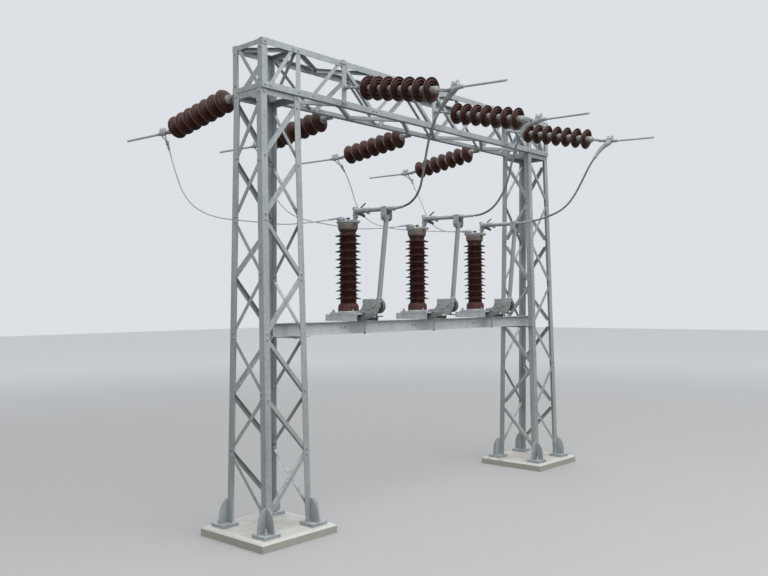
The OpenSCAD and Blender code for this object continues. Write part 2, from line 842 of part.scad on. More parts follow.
module top_plates() {
    proud = 6;
    color(STEEL)
        for (x = pole_x)
            translate([x - base_w / 2 - proud, top_plate_front, cross_z + base_h])
                cube([base_w + 2 * proud, top_plate_back - top_plate_front, top_plate_t]);
}

// Live head of a pole: saddle on the cap, upright plate with a gusset, contact tube in a root sleeve,
// and the block that the back droppers end in
module contact_head(k) {
    x = pole_x[k];
    route = front_routes[k];
    tip = route[11];
    root = [x, plate_y + 5, tube_z];
    axis = unit(tip - root);
    saddle_t = 14;
    plate_w = 56;
    plate_t = 20;
    plate_h = 165;
    root_l = 210;
    gusset_t = 12;
    block_w = 68;
    block_l = 84;
    block_over = 6;
    translate([x - 40, plate_y, head_z]) cube([80, terminal_y - plate_y, saddle_t]);
    translate([x - plate_w / 2, plate_y, head_z + 1]) cube([plate_w, plate_t, plate_h - 1]);
    along_x(x - gusset_t / 2, x + gusset_t / 2)
        polygon([[plate_y + 4, head_z + 34], [plate_y + 4, tube_z - 20], [plate_y - 120, tube_z - 20]]);
    difference() {
        union() {
            rod(root, tip, tube_d);
            rod(root, root + root_l * axis, tube_d + 12);
        }
        rod(root - 10 * axis, tip + 20 * axis, tube_d - 2 * tube_wall);
    }
    rod(tip - 12 * axis, tip + 6 * axis, tube_d + 4);
    rod(tip, route[10], sleeve_d);
    translate([x - block_w / 2, terminal_y + block_over - block_l, head_z + saddle_t - 1])
        cube([block_w, block_l, terminal_z - head_z + 16]);
}

module contact_heads() {
    color(ALUMINIUM) {
        for (k = [0:2]) contact_head(k);
        for (route = back_routes) rod(route[11], route[10], back_sleeve_d);
    }
}

foot_front = top_plate_front;
foot_l = 55;
housing_top = 80;
housing_back = 162;

// Cheek in the YZ plane: a housing side round the shaft at p, and a foot on the top plate of the base
module cheek_profile(p) {
    polygon([[foot_front + foot_l, post_z], [foot_front, post_z], p + [113, -79], p + [55, -112],
             p + [-45, -108], p + [-67, -86], p + [-67, 54], p + [-45, housing_top],
             p + [housing_back, housing_top], p + [housing_back, 5], p + [195, -39],
             [foot_front + foot_l, post_z + 18]]);
}

// Two cheeks on a foot plate, the gearbox between them, the spring drum on the far side, and the shaft
module arm_bracket(k) {
    p = [pivot_y[k], pivot_z];
    outside = cheek_gap / 2 + cheek_t;
    foot_t = 8;
    box_front = 50;
    inset = 4;
    pin_over = 10;
    for (sx = [0, 1]) mirror([sx, 0, 0]) along_x(cheek_gap / 2, outside) cheek_profile(p);
    translate([-outside, foot_front, post_z]) cube([2 * outside, foot_l, foot_t]);
    translate([-cheek_gap / 2 - 1, p[0] + box_front, pivot_z - inset])
        cube([cheek_gap + 2, housing_back - inset - box_front, housing_top]);
    along_x(outside - 1, outside + drum_t) translate(p) circle(d = drum_d);
    along_x(-outside - pin_over, outside + drum_t + pin_over) translate(p) circle(d = pin_d);
}

module arm_brackets() {
    color(STEEL)
        for (k = [0:2]) translate([pole_x[k], 0, 0]) arm_bracket(k);
}

// Earthing blade: eye on the shaft, tube open at the top, and a fork that straddles the contact tube
module arm(k) {
    lean = [0, -sin(blade_lean[k]), cos(blade_lean[k])];
    p = [pivot_y[k], pivot_z];
    low = [0, p[0] - blade_out, pivot_z];
    top = low + (head_z + fork_rise - pivot_z) / cos(blade_lean[k]) * lean;
    block_l = 44;
    color(ALUMINIUM)
        translate([pole_x[k], 0, 0]) {
            along_x(-eye_w / 2, eye_w / 2)
                difference() {
                    union() {
                        translate(p) circle(d = eye_d);
                        polygon([p + [0, -30], p + [0, 30], p + [-blade_out, 44], p + [-blade_out, -34]]);
                    }
                    translate(p) circle(d = pin_d + 2 * pin_gap);
                }
            difference() {
                union() {
                    rod(low - blade_below * lean, top, blade_d);
                    translate([-fork_gap / 2 - 1, top[1] - block_l / 2, top[2] - 20])
                        cube([fork_gap + 2, block_l, block_l]);
                }
                rod(low + eye_d * lean, top + block_l * lean, blade_d - 2 * blade_wall);
            }
            for (sx = [0, 1])
                mirror([sx, 0, 0])
                    along_x(fork_gap / 2, fork_gap / 2 + fork_t) fork_profile([top[1], top[2]]);
        }
}

// Fork plate in the YZ plane, rounded below and square above
module fork_profile(p) {
    translate(p - [fork_w / 2, 0]) square([fork_w, fork_l + fork_w / 2]);
    translate(p) circle(d = fork_w);
}

function unit(v) = v / norm(v);
function tangent(route, i) =
    i == 0 ? unit(route[1] - route[0])
    : i == len(route) - 1 ? unit(route[i] - route[i - 1])
    : unit(unit(route[i + 1] - route[i]) + unit(route[i] - route[i - 1]));

// Round cord through the inner points of a route. The end segments are its sleeves.
module cord(route, d) {
    count = len(route) - 2;
    plane = unit(cross([0, 0, 1], [route[count][0] - route[1][0], route[count][1] - route[1][1], 0]));
    dirs = [for (i = [1:count])
        i == 1 ? tangent(route, 0) : i == count ? tangent(route, len(route) - 1) : tangent(route, i)];
    points = [for (i = [1:count]) for (k = [0:cord_sides - 1])
        let (v = unit(cross(dirs[i - 1], plane)), u = cross(v, dirs[i - 1]), a = 360 * k / cord_sides)
        route[i] + d / 2 * (cos(a) * u + sin(a) * v)];
    sides = [for (i = [0:count - 2]) for (k = [0:cord_sides - 1])
        let (a = i * cord_sides + k, b = i * cord_sides + (k + 1) % cord_sides)
        each [[a, b, b + cord_sides], [a, b + cord_sides, a + cord_sides]]];
    first = [for (k = [cord_sides - 1:-1:0]) k];
    last = [for (k = [0:cord_sides - 1]) (count - 1) * cord_sides + k];
    color(ALUMINIUM) polyhedron(points, concat(sides, [first], [last]));
}

plinths();
shoes();
column_legs(-col_x);  // left_legs
column_legs(col_x);  // right_legs
left_lacing("front");  // left_lacing_front
left_lacing("back");  // left_lacing_back
left_lacing("inner");  // left_lacing_inner
left_lacing("outer");  // left_lacing_outer
right_lacing("front");  // right_lacing_front
right_lacing("back");  // right_lacing_back
right_lacing("inner");  // right_lacing_inner
right_lacing("outer");  // right_lacing_outer
head_frames();
beam_chords();
beam_posts();
beam_front_lacing();  // beam_lacing_front
beam_back_lacing();  // beam_lacing_back
beam_bottom_lacing();  // beam_lacing_bottom
beam_top_lacing();  // beam_lacing_top
beam_end_braces();
string_brackets();
front_discs();
front_fittings();
back_discs();
back_fittings();
cross_beam();
seat_angles();
pole_bases();
top_plates();
pole_flanges();
pole_porcelain();
contact_heads();
arm_brackets();
arm(0);  // arm_1
arm(1);  // arm_2
arm(2);  // arm_3
cord(front_routes[0], front_cord_d);  // front_dropper_1
cord(front_routes[1], front_cord_d);  // front_dropper_2
cord(front_routes[2], front_cord_d);  // front_dropper_3
cord(back_routes[0], back_cord_d);  // back_dropper_1
cord(back_routes[1], back_cord_d);  // back_dropper_2
cord(back_routes[2], back_cord_d);  // back_dropper_3
cord(back_routes[3], back_cord_d);  // back_dropper_4
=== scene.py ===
import math

import bmesh
import bpy
from mathutils import Matrix, Vector, noise


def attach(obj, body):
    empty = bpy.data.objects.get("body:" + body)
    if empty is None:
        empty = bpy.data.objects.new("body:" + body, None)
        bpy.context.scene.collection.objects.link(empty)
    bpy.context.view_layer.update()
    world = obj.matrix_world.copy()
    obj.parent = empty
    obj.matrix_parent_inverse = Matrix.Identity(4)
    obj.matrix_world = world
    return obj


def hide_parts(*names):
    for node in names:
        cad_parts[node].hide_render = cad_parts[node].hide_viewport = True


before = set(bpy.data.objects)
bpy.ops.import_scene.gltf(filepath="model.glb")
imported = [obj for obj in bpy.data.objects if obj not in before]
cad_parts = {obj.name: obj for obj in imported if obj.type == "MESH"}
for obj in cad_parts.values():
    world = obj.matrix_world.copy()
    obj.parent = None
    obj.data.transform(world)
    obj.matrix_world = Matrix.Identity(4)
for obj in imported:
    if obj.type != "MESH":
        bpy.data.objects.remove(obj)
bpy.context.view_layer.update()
scene = bpy.context.scene

# Camera
# It stands in front of the left column at eye height and looks along the portal. Its place, turn and lens
# were fitted to the straight edges of the steelwork.
camera_data = bpy.data.cameras.new("camera")
camera_data.lens = 38.22
camera_data.sensor_width = 36.0
camera = bpy.data.objects.new("camera", camera_data)
camera.matrix_world = (
    Matrix.Translation((-7.862, -6.506, 2.338))
    @ Matrix.Rotation(math.radians(-47.835), 4, "Z")
    @ Matrix.Rotation(math.radians(91.126), 4, "X")
    @ Matrix.Rotation(math.radians(-0.493), 4, "Z")
)
scene.collection.objects.link(camera)
scene.camera = camera

# Droppers
# Bare stranded aluminium conductors that hang from the strain clamps to the heads of the poles: thick ones in
# front, thin ones behind. Each is drawn as outer wires laid round a core, on the same route as the solid cord.


def new_object(name, mesh, material=None):
    """Links a mesh as an object of the same name at the origin, with one material."""
    made = bpy.data.objects.new(name, mesh)
    mesh.name = name
    if material:
        mesh.materials.append(material)
    scene.collection.objects.link(made)
    return made


def smooth_path(points, steps):
    """Catmull-Rom curve through the points, with a number of steps between each two."""
    pts = [Vector(p) for p in points]
    pts = [2 * pts[0] - pts[1]] + pts + [2 * pts[-1] - pts[-2]]
    path = []
    for a, b, c, d in zip(pts, pts[1:], pts[2:], pts[3:]):
        for i in range(steps):
            t = i / steps
            path.append(0.5 * ((2 * b) + (c - a) * t + (2 * a - 5 * b + 4 * c - d) * t * t
                               + (3 * b - a - 3 * c + d) * t ** 3))
    path.append(pts[-2])
    return path


def add_tube(bm, path, ring, sides=24):
    """Adds a closed tube along a path. The ring function gives the radius at an angle and a distance along it."""
    start = (path[1] - path[0]).normalized()
    helper = Vector((0, 0, 1)) if abs(start.z) < 0.95 else Vector((1, 0, 0))
    side = start.cross(helper).normalized()
    angles = [2 * math.pi * k / sides for k in range(sides)]
    travelled = 0.0
    rows = []
    for i, p in enumerate(path):
        ahead = (path[min(i + 1, len(path) - 1)] - path[max(i - 1, 0)]).normalized()
        side = (side - ahead * side.dot(ahead)).normalized()
        up = ahead.cross(side)
        if i:
            travelled += (p - path[i - 1]).length
        rows.append([bm.verts.new(p + (side * math.cos(a) + up * math.sin(a)) * ring(a, travelled))
                     for a in angles])
    for low, high in zip(rows, rows[1:]):
        for k in range(sides):
            n = (k + 1) % sides
            bm.faces.new((low[k], low[n], high[n], high[k]))
    bm.faces.new(list(reversed(rows[0])))
    bm.faces.new(rows[-1])


def mesh_from(bm, sharp_deg=35):
    """Turns a bmesh into a mesh, smooth except at its sharp edges."""
    bmesh.ops.recalc_face_normals(bm, faces=bm.faces)
    limit = math.radians(sharp_deg)
    for face in bm.faces:
        face.smooth = True
    for edge in bm.edges:
        if len(edge.link_faces) == 2 and edge.calc_face_angle(0) > limit:
            edge.smooth = False
    mesh = bpy.data.meshes.new("mesh")
    bm.to_mesh(mesh)
    bm.free()
    return mesh


def keep(name, mesh, material, body="portal", replaces=None):
    """Adds a piece that rides on a body, and that stands for a CAD node where one is named."""
    piece = new_object(name, mesh, material)
    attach(piece, body)
    if replaces:
        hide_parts(replaces)
    return piece


def feed(socket, value):
    """Gives an input its value, or a link where the value is an output."""
    if isinstance(value, bpy.types.NodeSocket):
        socket.id_data.links.new(value, socket)
    else:
        socket.default_value = value


def add_node(tree, kind, given=None, **settings):
    """Adds a node with its settings, and feeds the inputs that are given by name or number."""
    node = tree.nodes.new(kind)
    for label, value in settings.items():
        setattr(node, label, value)
    for key, value in (given or {}).items():
        feed(node.inputs[key], value)
    return node


def object_place(tree):
    """Position on the piece, in metres from the middle of the portal's ground line."""
    return add_node(tree, "ShaderNodeTexCoord").outputs["Object"]


def noise_node(tree, vector, scale, detail=4.0, roughness=0.55):
    """Noise value at a position."""
    return add_node(tree, "ShaderNodeTexNoise", {
        "Vector": vector, "Scale": scale, "Detail": detail, "Roughness": roughness}).outputs["Fac"]


def ramp(tree, value, low, high, to_low=0.0, to_high=1.0):
    """Smooth step between two values of an input."""
    return add_node(tree, "ShaderNodeMapRange", {
        "Value": value, "From Min": low, "From Max": high, "To Min": to_low, "To Max": to_high},
        interpolation_type="SMOOTHSTEP").outputs["Result"]


def math_node(tree, operation, a, b=0.5):
    """Result of an operation on one or two values or sockets."""
    return add_node(tree, "ShaderNodeMath", {0: a, 1: b}, operation=operation).outputs[0]


def mix(tree, factor, a, b):
    """Colour mix. Each of a and b is a colour or a socket."""
    node = add_node(tree, "ShaderNodeMix", {0: factor}, data_type="RGBA")
    for socket, colour in zip((s for s in node.inputs if s.type == "RGBA"), (a, b)):
        feed(socket, (*colour, 1.0) if isinstance(colour, tuple) else colour)
    return next(s for s in node.outputs if s.type == "RGBA")


# Weathering that every material uses: broad patches, rain streaks down the upright faces, dust on the level
# ones, and fine grain for the bump.
weather = bpy.data.node_groups.new("weather", "ShaderNodeTree")
for label, value in (("Patch size", 3.0), ("Grain size", 160.0)):
    weather.interface.new_socket(label, in_out="INPUT", socket_type="NodeSocketFloat").default_value = value
for label in ("Patches", "Streaks", "Dust", "Level", "Grain"):
    weather.interface.new_socket(label, in_out="OUTPUT", socket_type="NodeSocketFloat")
sizes = weather.nodes.new("NodeGroupInput").outputs
place = object_place(weather)
stretched = add_node(weather, "ShaderNodeMapping", {"Vector": place, "Scale": (9.0, 9.0, 0.45)}).outputs["Vector"]
normal = weather.nodes.new("ShaderNodeNewGeometry").outputs["Normal"]
level = ramp(weather, add_node(weather, "ShaderNodeSeparateXYZ", {0: normal}).outputs["Z"], 0.20, 0.75)
speckle = ramp(weather, noise_node(weather, place, 22.0, 5.0), 0.38, 0.62)
add_node(weather, "NodeGroupOutput", {
    "Patches": ramp(weather, noise_node(weather, place, sizes["Patch size"], 6.0, 0.62), 0.34, 0.68),
    "Streaks": ramp(weather, noise_node(weather, stretched, 1.0, 3.0), 0.45, 0.80),
    "Dust": math_node(weather, "MULTIPLY", level, speckle),
    "Level": level,
    "Grain": noise_node(weather, place, sizes["Grain size"], 3.0, 0.6)})


def finish(name, base, patch, streak, dust, rough=(0.5, 0.7), metallic=0.0, patch_size=3.0, grain_size=160.0,
           bump=0.2, bump_mm=0.4, streak_amount=0.5, dust_amount=0.4, specular=0.5):
    """Weathered material: base and patch colours in broad patches, streaks, and dust on the level faces."""
    made = bpy.data.materials.new(name)
    made.use_nodes = True
    tree = made.node_tree
    ageing = add_node(tree, "ShaderNodeGroup", {"Patch size": patch_size, "Grain size": grain_size},
                      node_tree=weather, name="ageing").outputs
    colour = mix(tree, ageing["Patches"], base, patch)
    colour = mix(tree, math_node(tree, "MULTIPLY", ageing["Streaks"], streak_amount), colour, streak)
    colour = mix(tree, math_node(tree, "MULTIPLY", ageing["Dust"], dust_amount), colour, dust)
    relief = add_node(tree, "ShaderNodeBump", {
        "Strength": bump, "Distance": bump_mm / 1000, "Height": ageing["Grain"]})
    for label, value in (("Base Color", colour), ("Roughness", ramp(tree, ageing["Patches"], 0.0, 1.0, *rough)),
                         ("Metallic", metallic), ("Specular IOR Level", specular),
                         ("Normal", relief.outputs["Normal"])):
        feed(tree.nodes["Principled BSDF"].inputs[label], value)
    return made


dark_conductor = finish("dark_conductor", (0.20, 0.21, 0.22), (0.16, 0.17, 0.175), (0.11, 0.11, 0.11),
                        (0.28, 0.28, 0.28), metallic=0.2, grain_size=400.0, patch_size=6.0)
pale_conductor = finish("pale_conductor", (0.56, 0.57, 0.61), (0.48, 0.49, 0.53), (0.36, 0.37, 0.40),
                        (0.60, 0.61, 0.63), rough=(0.45, 0.65), metallic=0.2, grain_size=400.0, patch_size=6.0)
lay_length = 0.26
valley_share = 0.90


def strands(valley_r, crest_r, wires):
    """Ring function of a conductor whose outer wires lie side by side and turn once in a lay length."""
    def ring(angle, along):
        lobe = abs(math.sin(0.5 * wires * (angle - 2 * math.pi * along / lay_length)))
        return valley_r + (crest_r - valley_r) * lobe
    return ring


front_cord_d = 0.024
back_cord_d = 0.015
front_routes = [
    [(-1.485, -1.515, 4.280), (-1.455, -1.425, 4.200), (-1.438, -1.358, 4.100), (-1.420, -1.300, 3.985),
     (-1.403, -1.243, 3.820), (-1.390, -1.198, 3.670), (-1.375, -1.148, 3.545), (-1.352, -1.070, 3.458),
     (-1.318, -0.960, 3.403), (-1.280, -0.840, 3.380)],
    [(0.0, -1.550, 4.315), (0.0, -1.480, 4.220), (0.0, -1.420, 4.090), (0.0, -1.370, 3.940),
     (0.0, -1.325, 3.780), (0.0, -1.255, 3.625), (0.0, -1.160, 3.500), (0.0, -1.060, 3.425),
     (0.0, -0.950, 3.386), (0.0, -0.850, 3.376)],
    [(1.555, -1.665, 4.250), (1.525, -1.600, 4.150), (1.500, -1.535, 4.040), (1.475, -1.450, 3.870),
     (1.450, -1.370, 3.720), (1.420, -1.280, 3.595), (1.385, -1.170, 3.508), (1.345, -1.040, 3.452),
     (1.300, -0.920, 3.415), (1.262, -0.835, 3.396)],
]
back_routes = [
    [(-2.640, 1.500, 4.111), (-2.605, 1.485, 3.970), (-2.565, 1.450, 3.790), (-2.525, 1.415, 3.650),
     (-2.460, 1.350, 3.510), (-2.360, 1.260, 3.410), (-2.210, 1.120, 3.340), (-1.960, 0.890, 3.300),
     (-1.680, 0.630, 3.268), (-1.430, 0.400, 3.292)],
    [(-1.300, 1.535, 4.180), (-1.280, 1.515, 4.060), (-1.235, 1.470, 3.910), (-1.180, 1.415, 3.740),
     (-1.110, 1.340, 3.595), (-1.015, 1.245, 3.478), (-0.880, 1.105, 3.404), (-0.660, 0.880, 3.342),
     (-0.430, 0.650, 3.296), (-0.215, 0.425, 3.300)],
    [(0.130, 1.452, 4.181), (0.178, 1.430, 4.076), (0.215, 1.400, 3.940), (0.245, 1.368, 3.785),
     (0.285, 1.320, 3.640), (0.345, 1.250, 3.535), (0.445, 1.135, 3.440), (0.620, 0.925, 3.376),
     (0.870, 0.640, 3.345), (1.145, 0.290, 3.329)],
    [(1.584, 1.440, 4.156), (1.560, 1.385, 4.080), (1.532, 1.290, 3.960), (1.508, 1.200, 3.815),
     (1.488, 1.120, 3.680), (1.466, 1.040, 3.570), (1.438, 0.940, 3.490), (1.402, 0.810, 3.425),
     (1.350, 0.620, 3.368), (1.280, 0.330, 3.336)],
]
for label, routes, diameter, wires, material in (
        ("front_dropper", front_routes, front_cord_d, 12, dark_conductor),
        ("back_dropper", back_routes, back_cord_d, 8, pale_conductor)):
    for k, route in enumerate(routes):
        fine = smooth_path(route, 16)
        bm = bmesh.new()
        add_tube(bm, fine, strands(valley_share * diameter / 2, diameter / 2, wires), sides=3 * wires)
        node = f"{label}_{k + 1}"
        piece = keep(node + "_strands", mesh_from(bm, 80), material, replaces=node)

# Plinths
# Two low square blocks of cast concrete. The arris is worn, the top is a little uneven and swept pale at its
# border, and the sides are stained by the damp ground.
plinth_half = 0.490
plinth_top = 0.090
plinth_chamfer = 0.018
column_x = 2.4525


def plinth_block(bm, centre_x):
    """Adds one block: a fine grid on top, a chamfer round it, and sides with rows down to the ground."""
    cells = 56
    inner = plinth_half - plinth_chamfer
    line = [-plinth_half] + [inner * (2 * i / cells - 1) for i in range(cells + 1)] + [plinth_half]
    last = len(line) - 1
    grid = {}
    for i, x in enumerate(line):
        for j, y in enumerate(line):
            rim = i in (0, last) or j in (0, last)
            here = Vector((x + 5 * centre_x, y, 0)) * 9
            wear = max(0.0, noise.noise(here * 0.9) - 0.10) * (0.012 if rim else 0.0)
            wave = 0.0016 * noise.noise(here) + 0.0006 * noise.noise(here * 6)
            pull = 1 - wear / plinth_half
            grid[i, j] = bm.verts.new((centre_x + x * pull, y * pull,
                                       plinth_top + wave - wear * 0.5 - (plinth_chamfer if rim else 0)))
    for i in range(last):
        for j in range(last):
            bm.faces.new((grid[i, j], grid[i + 1, j], grid[i + 1, j + 1], grid[i, j + 1]))
    around = ([grid[i, 0] for i in range(last)] + [grid[last, j] for j in range(last)]
              + [grid[i, last] for i in range(last, 0, -1)] + [grid[0, j] for j in range(last, 0, -1)])
    for height in (0.055, 0.040, 0.024, 0.010, 0.0):
        lower = []
        for above in around:
            push = 0.0022 * noise.noise(Vector((above.co.x * 8, above.co.y * 8, height * 25)))
            flat = Vector((above.co.x - centre_x, above.co.y))
            grown = flat * (1 + push) if height else flat
            lower.append(bm.verts.new((centre_x + grown.x, grown.y, height)))
        for k in range(len(around)):
            n = (k + 1) % len(around)
            bm.faces.new((around[k], lower[k], lower[n], around[n]))
        around = lower
    bm.faces.new(around)


concrete = finish("weathered_concrete", (0.55, 0.54, 0.50), (0.46, 0.45, 0.41), (0.34, 0.32, 0.28),
                  (0.60, 0.59, 0.56), rough=(0.85, 0.95), patch_size=5.0, grain_size=70.0, bump=0.55, bump_mm=3,
                  streak_amount=0.25)


def repaint(material, change):
    """Puts a change of colour between a material's weathering and its shader."""
    tree = material.node_tree
    colour = tree.nodes["Principled BSDF"].inputs["Base Color"]
    tree.links.new(change(tree, colour.links[0].from_socket), colour)


def stain_and_sweep(tree, aged):
    """Stains the sides and lightens a wandering border on top."""
    level = tree.nodes["ageing"].outputs["Level"]
    stained = mix(tree, ramp(tree, level, 0.0, 0.7), (0.37, 0.36, 0.32), aged)
    place = object_place(tree)
    where = add_node(tree, "ShaderNodeSeparateXYZ", {0: place}).outputs
    off_x = math_node(tree, "SUBTRACT", math_node(tree, "ABSOLUTE", where["X"]), column_x)
    border = math_node(tree, "MAXIMUM", math_node(tree, "ABSOLUTE", off_x),
                       math_node(tree, "ABSOLUTE", where["Y"]))
    wander = math_node(tree, "MULTIPLY", noise_node(tree, place, 7.0), 0.10)
    rim = ramp(tree, math_node(tree, "ADD", border, wander), 0.455, 0.50)
    swept = math_node(tree, "MULTIPLY", math_node(tree, "MULTIPLY", rim, level), 0.55)
    return mix(tree, swept, stained, (0.62, 0.61, 0.56))


repaint(concrete, stain_and_sweep)
bm = bmesh.new()
for x in (-column_x, column_x):
    plinth_block(bm, x)
keep("plinth_blocks", mesh_from(bm), concrete, replaces="plinths")

# Shoes
# Base plates of the legs in two layers with bell-shaped gussets, hot-dip galvanised. One anchor bolt stands in
# the outer corner of each shoe between the gussets, and its nut sits on a square washer.


def zinc(name, base, patch, streak, dust, cell_scale=55.0, rough=(0.42, 0.6), grain_size=220.0, bump=0.25,
         **settings):
    """Galvanised finish: weathered zinc with the crystal pattern of the coating in its colour."""
    spangle = 0.08

    def crystals(tree, aged):
        cells = add_node(tree, "ShaderNodeTexVoronoi", {"Vector": object_place(tree), "Scale": cell_scale})
        tone = add_node(tree, "ShaderNodeSeparateColor", {0: cells.outputs["Color"]}).outputs[0]
        shade = ramp(tree, tone, 0.0, 1.0, 1.0 - spangle, 1.0 + spangle)
        return add_node(tree, "ShaderNodeVectorMath", {0: aged, "Scale": shade}, operation="SCALE").outputs[0]

    made = finish(name, base, patch, streak, dust, rough=rough, metallic=0.15, grain_size=grain_size, bump=bump,
                  **settings)
    repaint(made, crystals)
    return made


def dress(material, *nodes):
    """Gives CAD nodes their material."""
    for node in nodes:
        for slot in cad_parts[node].material_slots:
            slot.material = material


steel = zinc("weathered_zinc", (0.375, 0.405, 0.412), (0.315, 0.345, 0.352), (0.22, 0.24, 0.246),
             (0.60, 0.62, 0.61), patch_size=2.2, dust_amount=0.65)
bolt_zinc = finish("bolt_zinc", (0.38, 0.40, 0.405), (0.31, 0.33, 0.335), (0.22, 0.22, 0.21),
                   (0.50, 0.52, 0.52), rough=(0.5, 0.65), metallic=0.15, patch_size=9.0)


def points_tree(name, inputs):
    """New Geometry Nodes tree from points to a result, with its named inputs."""
    tree = bpy.data.node_groups.new(name, "GeometryNodeTree")
    tree.interface.new_socket("Points", in_out="INPUT", socket_type="NodeSocketGeometry")
    for label, kind in inputs:
        tree.interface.new_socket(label, in_out="INPUT", socket_type=kind)
    tree.interface.new_socket("Result", in_out="OUTPUT", socket_type="NodeSocketGeometry")
    return tree, tree.nodes.new("NodeGroupInput").outputs


def set_on_points(tree, points, shape, material, turned):
    """Ends a tree: the shape on each point with its Z along the facing, turned by chance, real and dressed."""
    seed = 7
    facing = add_node(tree, "GeometryNodeInputNamedAttribute", {"Name": "facing"}, data_type="FLOAT_VECTOR")
    align = add_node(tree, "FunctionNodeAlignRotationToVector", {"Vector": facing.outputs["Attribute"]}, axis="Z")
    spin = add_node(tree, "FunctionNodeRandomValue", {2: 0.0, 3: turned, "Seed": seed}, data_type="FLOAT")
    about = add_node(tree, "ShaderNodeCombineXYZ", {"Z": spin.outputs[1]})
    turn_by = add_node(tree, "FunctionNodeEulerToRotation", {0: about.outputs[0]})
    local = add_node(tree, "FunctionNodeRotateRotation", {
        "Rotation": align.outputs["Rotation"], "Rotate By": turn_by.outputs[0]}, rotation_space="LOCAL")
    placed = add_node(tree, "GeometryNodeInstanceOnPoints", {
        "Points": points, "Instance": shape, "Rotation": local.outputs["Rotation"]})
    real = add_node(tree, "GeometryNodeRealizeInstances", {0: placed.outputs[0]})
    dressed = add_node(tree, "GeometryNodeSetMaterial", {"Geometry": real.outputs[0], "Material": material})
    add_node(tree, "NodeGroupOutput", {"Result": dressed.outputs[0]})


# One bolt: a washer, a hexagon with a chamfered top, and the end of the thread that stands out of a nut.
bolt_tree, given = points_tree("bolts_on_points", [
    ("Across flats", "NodeSocketFloat"), ("Head height", "NodeSocketFloat"), ("Washer width", "NodeSocketFloat"),
    ("Thread length", "NodeSocketFloat"), ("Finish", "NodeSocketMaterial")])
washer_t = 0.003
corner_share = 0.5774
thread_share = 0.33
crown_share = 0.2
chamfer_share = 0.84
sixth_turn = 1.04
full_turn = 6.28
corner, thread_r, washer_r, body_h, crown_h = (
    math_node(bolt_tree, "MULTIPLY", given[label], share) for label, share in (
        ("Across flats", corner_share), ("Across flats", thread_share), ("Washer width", 0.5),
        ("Head height", 1 - crown_share), ("Head height", crown_share)))
crown_z = math_node(bolt_tree, "ADD", body_h, washer_t)
whole = bolt_tree.nodes.new("GeometryNodeJoinGeometry")
for sides, low_r, high_r, low_z, tall in (
        (16, washer_r, washer_r, 0.0, washer_t),
        (6, corner, corner, washer_t, body_h),
        (6, corner, math_node(bolt_tree, "MULTIPLY", corner, chamfer_share), crown_z, crown_h),
        (10, thread_r, thread_r, math_node(bolt_tree, "ADD", crown_z, crown_h), given["Thread length"])):
    cone = add_node(bolt_tree, "GeometryNodeMeshCone", {
        "Vertices": sides, "Radius Bottom": low_r, "Radius Top": high_r, "Depth": tall})
    lift = add_node(bolt_tree, "ShaderNodeCombineXYZ", {"Z": low_z})
    moved = add_node(bolt_tree, "GeometryNodeTransform", {
        "Geometry": cone.outputs["Mesh"], "Translation": lift.outputs[0]})
    bolt_tree.links.new(moved.outputs[0], whole.inputs[0])
set_on_points(bolt_tree, given["Points"], whole.outputs[0], given["Finish"], sixth_turn)


def set_out(name, tree, places, settings, body="portal", slot="galvanised_steel", replaces=None):
    """Runs a tree on points, each with its place and the way it faces, and keeps the plain mesh."""
    cloud = bpy.data.meshes.new(name + "_points")
    cloud.from_pydata([tuple(p) for p, _ in places], [], [])
    facing = cloud.attributes.new("facing", "FLOAT_VECTOR", "POINT")
    for i, (_, direction) in enumerate(places):
        facing.data[i].vector = direction
    carrier = new_object(name + "_points", cloud)
    grown = carrier.modifiers.new("grown", "NODES")
    grown.node_group = tree
    for item in tree.interface.items_tree:
        if item.name in settings:
            grown[item.identifier] = settings[item.name]
    bpy.context.view_layer.update()
    shape = bpy.data.meshes.new_from_object(carrier.evaluated_get(bpy.context.evaluated_depsgraph_get()))
    bpy.data.objects.remove(carrier)
    keep(name, shape, None, body, replaces)


def bolts(name, places, flats, head, washer, thread=0.004, material=bolt_zinc, **ride):
    """Hexagon bolts or nuts at places on a surface, each facing out of it."""
    set_out(name, bolt_tree, places, {
        "Across flats": flats, "Head height": head, "Washer width": washer, "Thread length": thread,
        "Finish": material}, **ride)


def add_block(bm, centre, size, bevel):
    """Adds a block with rounded edges."""
    made = bmesh.ops.create_cube(bm, size=1, matrix=Matrix.Translation(centre) @ Matrix.Diagonal((*size, 1)))
    edges = list({e for v in made["verts"] for e in v.link_edges})
    bmesh.ops.bevel(bm, geom=edges, offset=bevel, segments=3, profile=0.5, affect="EDGES")


def add_plate(bm, outline, low, high, bevel=0.002, across="x"):
    """Adds a plate with rounded rims. Its outline is in the YZ plane between two x, or in XZ between two y."""
    rims = [[bm.verts.new((t, u, z) if across == "x" else (u, t, z)) for u, z in outline] for t in (low, high)]
    ends = [bm.faces.new(rims[0]), bm.faces.new(rims[1][::-1])]
    for i in range(len(outline)):
        j = (i + 1) % len(outline)
        bm.faces.new((rims[0][j], rims[0][i], rims[1][i], rims[1][j]))
    bmesh.ops.bevel(bm, geom=[e for f in ends for e in f.edges], offset=bevel, segments=2, profile=0.5,
                    affect="EDGES")


